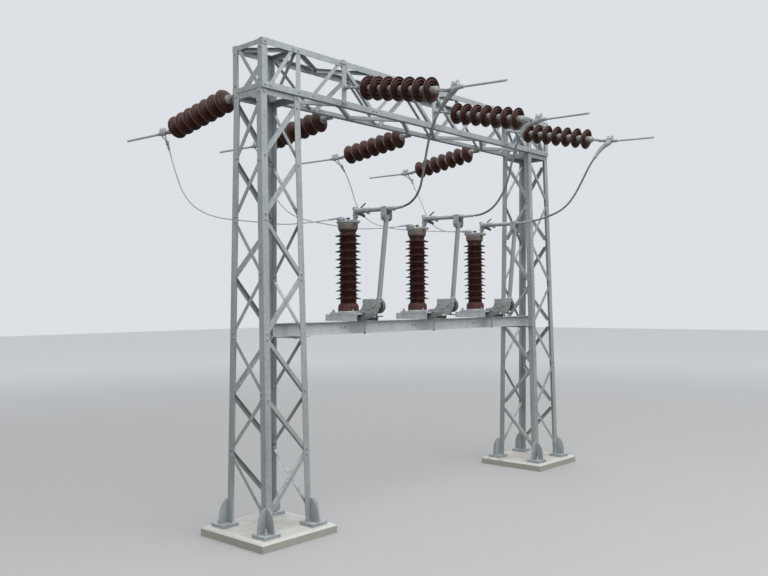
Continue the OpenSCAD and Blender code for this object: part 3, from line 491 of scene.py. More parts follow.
shoe_top = 0.126
shoe_half = 0.100
shoe_centre = 0.015
groove_depth = 0.005
groove_low = 0.1050
groove_high = 0.1110
lap = 0.0005
anchor_off = 0.052
foot_half_x = 0.295
foot_half_y = 0.310
head_half_x = 0.255
head_half_y = 0.2175
leg_h = 4.374
gusset_width = 0.108
gusset_height = 0.240
gusset_t = 0.010
gusset_low = shoe_top - 2 * lap
flank = [(1.0, 0.0), (1.0, 0.10), (0.985, 0.30), (0.95, 0.45), (0.89, 0.58), (0.80, 0.70), (0.68, 0.81),
         (0.54, 0.90), (0.38, 0.965), (0.20, 1.0)]
shoe = bmesh.new()
for low, high, half in ((plinth_top, groove_low + lap, shoe_half),
                        (groove_low - lap, groove_high + lap, shoe_half - groove_depth),
                        (groove_high - lap, shoe_top, shoe_half)):
    add_block(shoe, (shoe_centre, shoe_centre, (low + high) / 2), (2 * half, 2 * half, high - low), 0.0025)
for across, foot, head in (("x", foot_half_y, head_half_y), ("y", foot_half_x, head_half_x)):
    lean = (foot - head) / leg_h * gusset_height
    outline = [(gusset_width * w, gusset_low + gusset_height * h) for w, h in flank]
    outline += [(lap - lean, shoe_top + gusset_height), (lap, gusset_low)]
    add_plate(shoe, outline, -gusset_t, 0.0, 0.0018, across)
pattern = bpy.data.meshes.new("shoe")
shoe.to_mesh(pattern)
shoe.free()
corners = [(sx, sy) for sx in (-1, 1) for sy in (-1, 1)]
feet = [(cx, sx, sy) for cx in (-column_x, column_x) for sx, sy in corners]
bm = bmesh.new()
for cx, sx, sy in feet:
    there = len(bm.verts)
    bm.from_mesh(pattern)
    bm.verts.ensure_lookup_table()
    heel = Matrix.Translation((cx + sx * foot_half_x, sy * foot_half_y, 0))
    bmesh.ops.transform(bm, matrix=heel @ Matrix.Diagonal((sx, sy, 1, 1)), verts=bm.verts[there:])
bpy.data.meshes.remove(pattern)
keep("shoe_plates", mesh_from(bm, 30), steel, replaces="shoes")
bolts("anchor_nuts", [((cx + sx * (foot_half_x + anchor_off), sy * (foot_half_y + anchor_off), shoe_top), (0, 0, 1))
                      for cx, sx, sy in feet],
      flats=0.036, head=0.022, washer=0.062, thread=0.034)

# Columns
# Four leaning leg angles laced with single bars on every face and closed by an angle ring under the beam. Every
# bar end has one bolt through the leg, with its nut inside.
dress(steel, "left_legs", "right_legs", "head_frames", "seat_angles", *(
    f"{side}_lacing_{face}" for side in ("left", "right") for face in ("front", "back", "inner", "outer")))
lace_low = 0.125
bay_h = 0.592714
node_gap = 0.028
leg_t = 0.007
lace_t = 0.004
wide_inset = 0.042
side_inset = 0.056
ring_inset = 0.037
ring_drop = 0.030
turned = {"front": (1, -1, -1, 1, -1, 1, 1), "inner": (1, -1, -1, 1, -1, 1, 1),
          "outer": (-1, 1, -1, 1, -1, 1, 1), "back": (1, 1, -1, 1, -1, 1, 1)}
regular = (1, -1, 1, -1, 1, -1, 1)
lean_x = math.atan2(foot_half_x - head_half_x, leg_h)
lean_y = math.atan2(foot_half_y - head_half_y, leg_h)
lattice_bolt = {"flats": 0.021, "head": 0.009, "washer": 0.025, "thread": 0.0005}
lattice_nut = {"flats": 0.024, "head": 0.013, "washer": 0.030, "thread": 0.008}


def turn(degrees, axis):
    """Rotation about an axis."""
    return Matrix.Rotation(math.radians(degrees), 4, axis)


def face_places(face, leans, side):
    """Places of the bolt heads and nuts on one face of a column. Local z points into the column."""
    wide = face in ("front", "back")
    if wide:
        stand = Matrix.Translation((0, -foot_half_y, 0)) @ Matrix.Rotation(-lean_y, 4, "X") @ turn(180, "Z")
        low, high, inset = foot_half_x, head_half_x, wide_inset
    else:
        stand = Matrix.Translation((-foot_half_x, 0, 0)) @ Matrix.Rotation(lean_x, 4, "Y") @ turn(90, "Z")
        low, high, inset = foot_half_y, head_half_y, side_inset
    stand = stand @ turn(90, "X")
    if face in ("back", "inner"):
        stand = turn(180, "Z") @ stand
    stand = Matrix.Translation((-column_x, 0, shoe_top)) @ stand
    if side > 0:
        stand = Matrix.Scale(-1, 4, (1, 0, 0)) @ stand
    ends = [(lean * sign, lace_low + bay * bay_h + up) for bay, lean in enumerate(leans)
            for sign, up in ((1, node_gap), (-1, bay_h - node_gap))]
    spots = [(sign * (low + (high - low) * z / leg_h - inset), z) for sign, z in ends]
    ring_spots = [(s * (high - ring_inset), leg_h - ring_drop) for s in (-1, 1)]
    into = stand.to_3x3() @ Vector((0, 0, 1))
    depth = leg_t + lace_t if wide else leg_t
    return ([(stand @ Vector((u, v, 0)), -into) for u, v in spots + ring_spots],
            [(stand @ Vector((u, v, depth)), into) for u, v in spots])


for label, side in (("left", -1), ("right", 1)):
    heads, nuts = [], []
    for face, leans in turned.items():
        face_heads, face_nuts = face_places(face, leans if side < 0 else regular, side)
        heads += face_heads
        nuts += face_nuts
    bolts(f"{label}_column_bolts", heads, **lattice_bolt)
    bolts(f"{label}_column_nuts", nuts, **lattice_nut)

# Beam
# A box of four chord angles with upright angles over the legs and single lacing on all four faces, bolted at
# every bar end. Straps and lugs for the strings are bolted to the chords.
dress(steel, "beam_chords", "beam_posts", "beam_lacing_front", "beam_lacing_back", "beam_lacing_bottom",
      "beam_lacing_top", "beam_end_braces", "string_brackets")
beam_half = 2.7075
beam_y = 0.240
beam_low = 4.500
beam_high = 5.000
beam_mid = (beam_low + beam_high) / 2
inner_x = 2.1975
module = 1.600
panel = module / 3
end_gap = 0.102
inner_gap = 0.050
front_gap = 0.175
face_reach = 0.216
flat_reach = 0.186
chord_line = 0.033


def panel_bars(x0, count, first):
    """Bars that rise and fall by turns, as start x, start side, end x and end side."""
    return [(x0 + i * panel + node_gap, -first * (-1) ** i, x0 + (i + 1) * panel - node_gap, first * (-1) ** i)
            for i in range(count)]


def face_bars(near_gap, near_side, middle, far_side, end_side):
    """Bars of one face: the first and last stand over the columns, and the next two close the middle ones in."""
    return ([(-beam_half + end_gap, -1, -inner_x - end_gap, 1),
             (-inner_x + near_gap, near_side, -module - node_gap, -near_side)] + middle
            + [(module + node_gap, far_side, inner_x - inner_gap, -far_side),
               (inner_x + end_gap, end_side, beam_half - end_gap, -end_side)])


front_bars = face_bars(front_gap, -1, panel_bars(-module, 3, -1) + panel_bars(0, 3, -1), 1, 1)
back_bars = face_bars(inner_gap, 1, panel_bars(-module, 6, 1), -1, 1)
flat_bars = face_bars(inner_gap, 1, panel_bars(-module, 3, 1) + panel_bars(0, 3, 1), 1, -1)


def bar_ends(bars):
    """Both ends of every bar, as x and side."""
    return [(x, side) for xa, sa, xb, sb in bars for x, side in ((xa, sa), (xb, sb))]


front_strings = (-1.570, 0.0, 1.600)
back_strings = (-2.6625, -1.305, 0.100, 1.600)
strap_t = 0.010
strap_bolts = (-0.017, 0.017)
lug_bolt_z = beam_low + 0.047
post_bolts = (inner_x + 0.030, beam_half - 0.036)
end_bolt_y = 0.200
end_bolt_z = (beam_low + 0.085, beam_high - 0.085)
chord_t = 0.0066
chord_lines = (beam_low + chord_line, beam_high - chord_line)
heads = [((x, -beam_y, beam_mid + s * face_reach), (0, -1, 0)) for x, s in bar_ends(front_bars)]
heads += [((x, beam_y, beam_mid + s * face_reach), (0, 1, 0)) for x, s in bar_ends(back_bars)]
heads += [((x, s * flat_reach, beam_low), (0, 0, -1)) for x, s in bar_ends(flat_bars)]
heads += [((x, -s * flat_reach, beam_high), (0, 0, 1)) for x, s in bar_ends(flat_bars)]
heads += [((sx * x, sy * beam_y, z), (0, sy, 0)) for sx, sy in corners
          for x in post_bolts for z in chord_lines]
heads += [((sx * beam_half, sy * end_bolt_y, z), (sx, 0, 0)) for sx, sy in corners for z in end_bolt_z]
heads += [((x + dx, -beam_y - strap_t, z), (0, -1, 0)) for x in front_strings for dx in strap_bolts
          for z in chord_lines]
heads += [((x + dx, beam_y + strap_t, lug_bolt_z), (0, 1, 0)) for x in back_strings for dx in strap_bolts]
bolts("beam_bolts", heads, **lattice_bolt)
inside = beam_y - chord_t - lace_t
bolts("beam_nuts", [((x, -inside, beam_mid + s * face_reach), (0, 1, 0)) for x, s in bar_ends(front_bars)]
      + [((x, inside, beam_mid + s * face_reach), (0, -1, 0)) for x, s in bar_ends(back_bars)], **lattice_nut)

# Strings
# Seven brown porcelain discs to a string, each with a stepped bell, drip ribs on its line side and a cemented
# iron cap. The strings hang a little below the line of pull.


def lathe(profile_mm, sides):
    """Bmesh of a profile in millimetres, as radius and height, turned about Z. Radius 0 closes it at a pole."""
    bm = bmesh.new()
    angles = [2 * math.pi * k / sides for k in range(sides)]
    rows = [[bm.verts.new((r / 1000 * math.cos(a), r / 1000 * math.sin(a), z / 1000))
             for a in (angles if r else angles[:1])] for r, z in profile_mm]
    for low, high in zip(rows, rows[1:]):
        for k in range(sides):
            n = (k + 1) % sides
            around = [low[k % len(low)], low[n % len(low)], high[n % len(high)], high[k % len(high)]]
            bm.faces.new(list(dict.fromkeys(around)))
    return bm


# Copies of one turned piece, with the piece as an input.
piece_tree, given = points_tree("piece_on_points", [
    ("Piece", "NodeSocketObject"), ("Finish", "NodeSocketMaterial")])
info = add_node(piece_tree, "GeometryNodeObjectInfo", {"Object": given["Piece"]})
set_on_points(piece_tree, given["Points"], info.outputs["Geometry"], given["Finish"], full_turn)


def copies(name, profile_mm, sides, places, material, sharp_deg=50, **ride):
    """Turned pieces of one profile at places, each with its axis along its facing."""
    pattern = new_object(name + "_pattern", mesh_from(lathe(profile_mm, sides), sharp_deg))
    set_out(name, piece_tree, places, {"Piece": pattern, "Finish": material}, **ride)
    bpy.data.objects.remove(pattern)


glaze = finish("disc_glaze", (0.042, 0.015, 0.011), (0.056, 0.020, 0.014), (0.030, 0.012, 0.009),
               (0.120, 0.080, 0.068), rough=(0.32, 0.46), dust_amount=0.38, patch_size=7.0, grain_size=300,
               bump=0.05, specular=0.22)
cap_iron = finish("cap_iron", (0.36, 0.37, 0.36), (0.27, 0.28, 0.27), (0.17, 0.17, 0.16), (0.46, 0.46, 0.44),
                  metallic=0.2, patch_size=9.0, grain_size=180.0, bump=0.5)
# Pale rings on the disc rims: a painted highlight of the sky reflected on the rim bead, with some dust.
rim_highlight_and_dust = finish("rim_highlight_and_dust", (0.20, 0.14, 0.12), (0.13, 0.09, 0.078), (0.09, 0.06, 0.05), (0.34, 0.29, 0.27),
                  patch_size=12.0)
disc_profile = [
    (0, -58), (40, -58), (47, -59), (52, -56), (58, -49), (66, -44.5), (74, -42), (78.5, -39.5), (80, -36),
    (81, -33.5), (86, -31), (94, -28.5), (102, -25.5), (110, -20), (117, -13.5), (122, -7), (125.5, -1), (127, 3),
    (126.5, 7), (124.5, 9.5), (121, 9.5), (117, 8), (112, 4), (106, 2), (102, 5), (99, 14), (97, 19), (93, 21),
    (89, 19.5), (86, 12), (83, 3), (80, 0.5), (77, 4), (73, 14), (70, 18.5), (66.5, 20), (63, 18), (60, 9), (57, 0),
    (52, -5), (46, -8), (20, -8), (0, -8)]
rim_profile = [(124, -1), (126.3, 0), (127.8, 3.2), (127.2, 6.4), (125, 8), (124, -1)]
cap_profile = [(34, -69), (40.5, -69), (42, -66), (42, -61), (40, -58.5), (34, -58), (34, -69)]
cement_profile = [(30, -60), (45, -59.5), (46.5, -58), (30, -55), (30, -60)]
socket_profile = [(0, -152), (13, -152), (19, -150), (24, -146), (25, -138), (24, -130), (0, -130)]
disc_count = 7
disc_pitch = 0.146
front_root = (-0.292, 4.700)
back_root = (0.292, 4.500)
front_droop = (11.7, 13.2, 13.2)
back_droop = (9.2, 7.0, 6.2, 8.2)
front_first = 0.316
back_first = 0.140


def along(root, droop, sign, distance, x):
    """Place on a string at a distance from its root pin, and the way the string runs."""
    run = Vector((0, sign * math.cos(math.radians(droop)), -math.sin(math.radians(droop))))
    return Vector((x, *root)) + distance * run, run


for label, root, droops, sign, first, strings in (
        ("front", front_root, front_droop, -1, front_first, front_strings),
        ("back", back_root, back_droop, 1, back_first, back_strings)):
    places = [along(root, droop, sign, first + i * disc_pitch, x) for x, droop in zip(strings, droops)
              for i in range(disc_count)]
    copies(f"{label}_porcelain_discs", disc_profile, 40, places, glaze, 60, slot="porcelain",
           replaces=f"{label}_discs")
    for part, profile, sides, material, slot in (
            # The disc rims carry the painted highlight and dust.
            ("disc_rims", rim_profile, 40, rim_highlight_and_dust, "porcelain"),
            ("cap_rims", cap_profile, 32, cap_iron, "cast_fittings"),
            ("cement", cement_profile, 32, concrete, "cast_fittings"),
            ("cap_sockets", socket_profile, 20, cap_iron, "cast_fittings")):
        copies(f"{label}_{part}", profile, sides, places, material, slot=slot)
dress(cap_iron, "front_fittings", "back_fittings")

# Clamps
# Cast dead-end clamps behind the discs. In front a compressed jumper tube leaves each one and tapers down to
# the dropper. At the back two saddles are bolted on the body, and a yoke on two rods holds the dropper.
bright_casting = finish("bright_casting", (0.44, 0.45, 0.45), (0.34, 0.35, 0.35), (0.22, 0.22, 0.21),
                        (0.52, 0.52, 0.50), rough=(0.4, 0.6), metallic=0.25, patch_size=10.0, bump=0.35)
socket_to_link = 0.200
link_at = (disc_count - 1) * disc_pitch + socket_to_link
front_hubs = ((-1.775, 4.426), (-1.747, 4.370), (-1.797, 4.354))
back_hubs = ((1.597, 4.309), (1.604, 4.355), (1.606, 4.372), (1.601, 4.330))
back_yokes = ((1.507, 4.191), (1.544, 4.255), (1.474, 4.247), (1.470, 4.209))
front_tail_drop = (0.038, 0.022, 0.030)
back_tail_rise = 0.020
tail_start = 0.080
tail_end = 2.350
tail_valley_r = 0.0132
tail_crest_r = 0.0141
tail_wires = 14
link_half = 0.022
root_half = 0.017
front_body = [(0, 14), (6, 20), (22, 20), (28, 9), (44, 9), (50, 17), (60, 17), (68, 24), (120, 26), (190, 20.5)]
back_body = [(0, 15), (16, 20), (28, 15.5), (44, 17), (62, 24), (110, 25), (140, 22), (160, 20.5)]
jumper = [(0, 30), (40, 32), (110, 27), (200, 22.5), (265, 20), (290, 14.5), (330, 13.5)]
yoke_rod = [(0, 11), (14, 8), (60, 7.4), (150, 8)]
yoke_sleeve = [(0, 18), (14, 19), (30, 14), (60, 13.4), (78, 9)]


def line(a, b, steps):
    """Straight path between two points."""
    a, b = Vector(a), Vector(b)
    return [a.lerp(b, i / steps) for i in range(steps + 1)]


def add_bar(bm, path, stations, sides=24):
    """Adds a round bar along a path, eased between stations of a distance and a radius in millimetres."""
    def ring(_, travelled):
        at = travelled * 1000
        for (s0, r0), (s1, r1) in zip(stations, stations[1:]):
            if at <= s1:
                t = max(0.0, min(1.0, (at - s0) / (s1 - s0)))
                return (r0 + (r1 - r0) * t * t * (3 - 2 * t)) / 1000
        return stations[-1][1] / 1000
    add_tube(bm, path, ring, sides)


def link_pins(root, droop, sign, first, x):
    """Place of the link between the last disc of a string and its clamp. Adds both ends of its pin."""
    link, _ = along(root, droop, sign, first + link_at, x)
    pins.extend((link + Vector((s * link_half, 0, 0)), (s, 0, 0)) for s in (-1, 1))
    return link


def add_tail(hub, tip, steps):
    """Adds the stub of a line conductor that leaves a clamp."""
    path = line(hub + (tip - hub).normalized() * tail_start, tip, steps)
    add_tube(tails, path, strands(tail_valley_r, tail_crest_r, tail_wires), 3 * tail_wires)


bodies, tails, pins, clamp_bolts = bmesh.new(), bmesh.new(), [], []
for k, (x, (hy, hz)) in enumerate(zip(front_strings, front_hubs)):
    link = link_pins(front_root, front_droop[k], -1, front_first, x)
    add_bar(bodies, line((x, link.y + 0.012, link.z), (x, hy - 0.078, hz - 0.003), 40), front_body)
    start = Vector((x, hy + 0.010, hz - 0.008))
    first, second = (Vector(p) for p in front_routes[k][:2])
    add_bar(bodies, smooth_path([start, start.lerp(first, 0.45) + Vector((0, 0, 0.010)), first, second], 14), jumper)
    for dy in (0.036, -0.016):
        add_block(bodies, (x, hy + dy, hz + 0.027), (0.046, 0.030, 0.034), 0.005)
        clamp_bolts += [((x + s * 0.013, hy + dy, hz + 0.044), (0, 0, 1)) for s in (-1, 1)]
    add_tail(Vector((x, hy, hz)), Vector((x, -tail_end, hz - front_tail_drop[k])), 110)
for k, (x, (hy, hz)) in enumerate(zip(back_strings, back_hubs)):
    link = link_pins(back_root, back_droop[k], 1, back_first, x)
    add_bar(bodies, line((x, link.y - 0.012, link.z), (x, hy + 0.078, hz + 0.002), 36), back_body)
    for dy in (0.022, -0.036):
        add_block(bodies, (x, hy + dy, hz + 0.018), (0.048, 0.026, 0.042), 0.006)
        clamp_bolts += [((x + s * 0.014, hy + dy, hz + 0.039), (0, 0, 1)) for s in (-1, 1)]
    yoke = Vector((x, *back_yokes[k]))
    for dy in (-0.042, 0.030):
        add_bar(bodies, line((x, hy + dy, hz - 0.012), yoke, 8), yoke_rod, 12)
    add_bar(bodies, line(yoke, back_routes[k][0], 14), yoke_sleeve, 20)
    add_tail(Vector((x, hy, hz)), Vector((x, tail_end, hz + back_tail_rise)), 90)
keep("clamp_bodies", mesh_from(bodies, 60), bright_casting)
keep("line_tails", mesh_from(tails, 60), pale_conductor)
for root, lines in ((front_root, front_strings), (back_root, back_strings)):
    pins += [((x + s * root_half, *root), (s, 0, 0)) for x in lines for s in (-1, 1)]
bolts("string_pins", pins, flats=0.027, head=0.012, washer=0.034, thread=0.007, slot="cast_fittings")
bolts("clamp_bolts", clamp_bolts, flats=0.019, head=0.010, washer=0.022, thread=0.010, slot="cast_fittings")

# Cross beam and bases
# A channel between the inner legs with its open side to the front. Each pole stands on an inverted channel that
# is bolted down on it, with a top plate, packing under the foot casting, and two bolts through the web.
pole_steel = zinc("pole_steel", (0.53, 0.56, 0.57), (0.46, 0.49, 0.50), (0.34, 0.365, 0.37), (0.63, 0.65, 0.64),
                  patch_size=2.6)
dress(pole_steel, "cross_beam", "pole_bases", "top_plates")
poles = (-1.230, 0.0, 1.230)
pivots = (-0.375, -0.455, -0.455)
web_y = -0.048
web_bolt_z = 2.080
web_bolt_x = (-0.216, -0.157)
plate_bolt_x = (-0.115, 0.115)
plate_bolt_y = (-0.135, 0.178)
seat_low = 2.004
seat_bolt_y = (-0.085, -0.055)
seat_x = column_x - head_half_x - 0.054
plate_top = 2.247
post_y = 0.050
foot_plate_t = 0.013
foot_bolt_r = 0.104
foot_circle = [(math.cos(math.radians(22.5 + 45 * i)), math.sin(math.radians(22.5 + 45 * i))) for i in range(8)]
bolts("web_bolts", [((x + dx, web_y, web_bolt_z), (0, -1, 0)) for x in poles for dx in web_bolt_x],
      flats=0.021, head=0.010, washer=0.026, thread=0.005)
bolts("plate_bolts", [((x + dx, y, plate_top), (0, 0, 1)) for x in poles for dx in plate_bolt_x
                      for y in plate_bolt_y],
      flats=0.030, head=0.016, washer=0.040, thread=0.014)
bolts("seat_bolts", [((s * seat_x, y, seat_low), (0, 0, -1)) for s in (-1, 1) for y in seat_bolt_y],
      **lattice_nut)
bolts("foot_bolts", [((x + foot_bolt_r * c, post_y + foot_bolt_r * s, plate_top + foot_plate_t), (0, 0, 1))
                     for x in poles for c, s in foot_circle],
      flats=0.017, head=0.009, washer=0.020, thread=0.005)

# Porcelain
# One-piece post insulators in brown glaze with nine large and eight small sheds by turns. The sheds have a
# rounded edge and slope on top, and the body is cemented into a ribbed foot casting and a cap.
core_r = 92.0
shed_r = 147.0
small_shed_r = 111.0
shed_count = 9
low_z = 100.0
high_z = 918.0
first_shed = low_z + 57
last_shed = high_z - 44
shed_pitch = (last_shed - first_shed) / (shed_count - 1)
neck_z = (3.180, 3.196)
flange_z = (3.235, 3.268)
rib_r = 0.1125


def shed(z, r, rise):
    """Profile of one shed from its underside up, in millimetres."""
    slope = (rise + 1) / (r - core_r)
    return [(core_r, z - 11), (core_r + 3, z - 7), (core_r + 10, z - 4.5), (r - 12, z - 7.2), (r - 5, z - 8.2),
            (r - 1.6, z - 7.6), (r, z - 5.6), (r, z - 3.6), (r - 1.4, z - 1.6), (r - 7, z + 0.6),
            (core_r + 14, z - 1 + slope * (r - core_r - 14)), (core_r + 5, z + rise - 1),
            (core_r + 1, z + rise + 4), (core_r, z + rise + 9)]


post_profile = [(0, low_z - 4), (core_r, low_z - 4)]
for i in range(shed_count):
    post_profile += shed(first_shed + i * shed_pitch, shed_r, 18)
    if i < shed_count - 1:
        post_profile += shed(first_shed + (i + 0.5) * shed_pitch, small_shed_r, 8)
post_profile += [(core_r, high_z + 4), (0, high_z + 4)]
post_glaze = finish("post_glaze", (0.036, 0.009, 0.006), (0.046, 0.012, 0.008), (0.026, 0.008, 0.005),
                    (0.110, 0.052, 0.040), rough=(0.34, 0.46), dust_amount=0.38, patch_size=7.0, grain_size=300,
                    bump=0.05, specular=0.22)
brown_iron = finish("painted_casting", (0.098, 0.030, 0.024), (0.062, 0.020, 0.016), (0.040, 0.016, 0.013),
                    (0.17, 0.10, 0.085), patch_size=8.0, grain_size=140.0, bump=0.6, dust_amount=0.7)
cap_paint = finish("cap_paint", (0.175, 0.140, 0.122), (0.140, 0.108, 0.093), (0.095, 0.070, 0.060),
                   (0.40, 0.40, 0.37), patch_size=8.0, grain_size=140.0, bump=0.5, dust_amount=0.9)


def dark_neck_pale_rim(tree, aged):
    """Darkens the low part of the cap and lightens its top flange."""
    height = add_node(tree, "ShaderNodeSeparateXYZ", {0: object_place(tree)}).outputs["Z"]
    necked = mix(tree, ramp(tree, height, *neck_z), (0.045, 0.018, 0.013), aged)
    return mix(tree, ramp(tree, height, *flange_z), necked, (0.33, 0.33, 0.31))


repaint(cap_paint, dark_neck_pale_rim)
dress(brown_iron, "pole_flanges")
ring_profile = [(0, 0.5), (118, 0.5), (121, 2.5), (121, 11.5), (118, 14.6), (0, 14.6)]
foot_profile = [(0, 14), (114.8, 14.5), (112.4, 40), (111.4, 84), (109, 88.5), (101, 96), (98.5, 101), (96, 103),
                (92, 104), (0, 104)]
rib_profile = [(0, 14), (8.5, 14.5), (8, 70), (5.5, 84), (0, 89)]
cap_shell = [(r, high_z - 1 + up) for r, up in (
    (92, 0), (95, 1), (98.5, 8), (100, 17), (104, 22), (110, 27), (113.5, 36), (115, 47), (117, 92), (118, 97),
    (126, 101), (128.4, 104), (128.4, 113.5), (126.5, 116.2), (60, 116.2), (60, 114), (92, 0))]
on_plates = [((x, post_y, plate_top), (0, 0, 1)) for x in poles]
copies("post_porcelain", post_profile, 72, on_plates, post_glaze, 60, slot="porcelain", replaces="pole_porcelain")
copies("foot_rings", ring_profile, 64, on_plates, pole_steel)
copies("foot_shells", foot_profile, 64, on_plates, brown_iron, slot="brown_castings")
copies("foot_ribs", rib_profile, 16, [((x + rib_r * c, post_y + rib_r * s, plate_top), (0, 0, 1))
                                      for x in poles for c, s in foot_circle], brown_iron, slot="brown_castings")
copies("cap_shells", cap_shell, 64, on_plates, cap_paint, slot="brown_castings")

# Heads
# Live heads of the poles in dull aluminium: a saddle on the cap, an upright plate that holds the contact tube
# in a root sleeve, a terminal for the back droppers, and ribbed sleeves where the droppers enter.
aluminium = finish("dull_aluminium", (0.40, 0.41, 0.425), (0.33, 0.34, 0.355), (0.24, 0.25, 0.26),
                   (0.60, 0.60, 0.60), rough=(0.4, 0.55), metallic=0.25, patch_size=6.0, grain_size=260.0,
                   dust_amount=0.6)
dark_iron = finish("dark_iron", (0.075, 0.080, 0.080), (0.050, 0.053, 0.053), (0.035, 0.032, 0.030),
                   (0.17, 0.17, 0.16), metallic=0.2, patch_size=9.0, grain_size=200.0, bump=0.5)
saddle_z = 3.294
plate_y = -0.078
plate_back = -0.058
tube_root = (-0.073, 3.396)
tube_tip = (-0.665, 3.378)
contact_tube = [(0, 29), (2, 31), (205, 31), (210, 25), (574, 25), (580, 27), (593, 27), (599, 24)]
web_outline = [(-0.074, 3.314), (-0.074, 3.376), (-0.198, 3.376)]
terminal = (0.200, 3.331)
terminal_z = 3.318
back_pole_x = (-1.250, -0.020, 1.210, 1.240)
knob_off = 0.150
knob_z = (3.402, 3.421)
hook_path = ((-0.120, 3.371), (-0.160, 3.352), (-0.204, 3.331), (-0.208, 3.312))
horn_path = ((-0.158, 3.416), (-0.172, 3.434), (-0.205, 3.455), (-0.232, 3.470))


def ribbed_sleeve(bm, a, b, core, rib, pitch):
    """Adds a round sleeve with raised rings between two points."""
    length = (Vector(b) - Vector(a)).length
    count = int(length / pitch)
    stations = [(0, core)]
    for i in range(count):
        at = 1000 * pitch * (i + 0.3)
        stations += [(at, core), (at + 2, rib), (at + 400 * pitch, rib), (at + 2 + 400 * pitch, core)]
    add_bar(bm, line(a, b, 14 * count), stations + [(1000 * length + 1, core)])


bright, dark, lug, rods, head_bolts = bmesh.new(), bmesh.new(), bmesh.new(), bmesh.new(), []
for x, pivot_y, route in zip(poles, pivots, front_routes):
    # Saddle, upright plate, terminal, and two clips on the tube.
    for y, z, size, bevel in (
            (0.061, 3.287, (0.080, 0.278, 0.014), 0.003), (-0.068, 3.363, (0.056, 0.020, 0.164), 0.004),
            (0.164, 3.320, (0.066, 0.086, 0.056), 0.020),
            (-0.266, 3.353, (0.030, 0.011, 0.018), 0.003), (-0.282, 3.353, (0.030, 0.011, 0.018), 0.003)):
        add_block(bright, (x, y, z), size, bevel)
    add_block(lug, (x, -0.068, 3.273), (0.080, 0.104, 0.034), 0.015)
    add_plate(bright, web_outline, x - 0.006, x + 0.006)
    root, tip = Vector((x, *tube_root)), Vector((x, *tube_tip))
    add_bar(bright, line(root, tip + 0.006 * (tip - root).normalized(), 120), contact_tube, 36)
    add_bar(bright, line((x, 0.128, terminal_z), (x, 0.056, terminal_z), 2), [(0, 7)], 12)
    add_bar(dark, line((x, 0.064, terminal_z), (x, 0.020, terminal_z), 8), [(0, 9), (12, 13), (34, 13), (44, 9)], 16)
    add_bar(dark, smooth_path([(x, *p) for p in hook_path], 8), [(0, 15), (40, 19), (90, 17), (115, 9)], 20)
    add_bar(dark, smooth_path([(x, *p) for p in horn_path], 8), [(0, 10), (30, 8), (80, 7.5), (95, 6)], 14)
    knob = [(x, pivot_y - knob_off, z) for z in knob_z]
    add_bar(bright, line(*knob, 4), [(0, 12), (12, 12), (15, 8), (19, 6)], 12)
    ribbed_sleeve(bright, tip, route[-1], 9.5, 17.5, 0.032)
    head_bolts += [((x + s * 0.017, plate_back, z), (0, 1, 0)) for s in (-1, 1) for z in (3.345, 3.425)]
    head_bolts += [((x + s * 0.019, plate_y, 3.322), (0, -1, 0)) for s in (-1, 1)]
    head_bolts += [((x + s * 0.026, y, saddle_z), (0, 0, 1)) for s in (-1, 1) for y in (0.010, 0.075)]
for route, x in zip(back_routes, back_pole_x):
    start, end = Vector((x, *terminal)), Vector(route[-1])
    ribs_end = start + (end - start).normalized() * 0.10
    ribbed_sleeve(bright, start, ribs_end, 8, 14.5, 0.025)
    add_tube(rods, line(ribs_end - (end - start) * 0.02, end, 30),
             strands(valley_share * back_cord_d / 2, back_cord_d / 2, 8))
keep("head_castings", mesh_from(bright, 50), aluminium, replaces="contact_heads")
keep("head_dark_details", mesh_from(dark, 50), dark_iron)
keep("head_lugs", mesh_from(lug, 50), cap_paint)
keep("dropper_ends", mesh_from(rods, 80), pale_conductor)
bolts("head_bolts", head_bolts, flats=0.016, head=0.008, washer=0.019, slot="aluminium")

# Brackets
# A near cheek on the front of each base, the gearbox behind it and a dark drum on the far side hold the shaft
# of the blade. A strap stays the cheek from below, and a hook rod for the hand drive hangs beside it.
bracket_steel = zinc("bracket_steel", (0.37, 0.385, 0.385), (0.30, 0.315, 0.315), (0.21, 0.22, 0.22),
                     (0.50, 0.51, 0.50), cell_scale=80.0, rough=(0.45, 0.62), patch_size=6.0, grain_size=200.0,
                     bump=0.3)
shaded_steel = finish("shaded_steel", (0.25, 0.26, 0.26), (0.19, 0.20, 0.20), (0.13, 0.13, 0.13),
                      (0.42, 0.43, 0.42), metallic=0.2, patch_size=9.0)
drum_paint = finish("drum_paint", (0.125, 0.135, 0.135), (0.095, 0.103, 0.103), (0.07, 0.075, 0.075),
                    (0.22, 0.23, 0.23), metallic=0.1, patch_size=9.0)
pivot_z = 2.316
cheek_in = 0.033
cheek_out = 0.041
drum_end = 0.075
drum_face = drum_end + 0.002
drum_r = 82.5
drum_bolt_r = 0.064
foot_front = -0.205
foot_back = -0.150
foot = [(foot_back, plate_top + 0.018), (foot_back, plate_top), (foot_front, plate_top)]
strap = [(-0.255, 2.226), (-0.380, 2.238), (-0.388, 2.196), (-0.320, 2.180), (-0.262, 2.158), (-0.236, 2.150),
         (-0.140, 2.146), (-0.140, 2.178)]
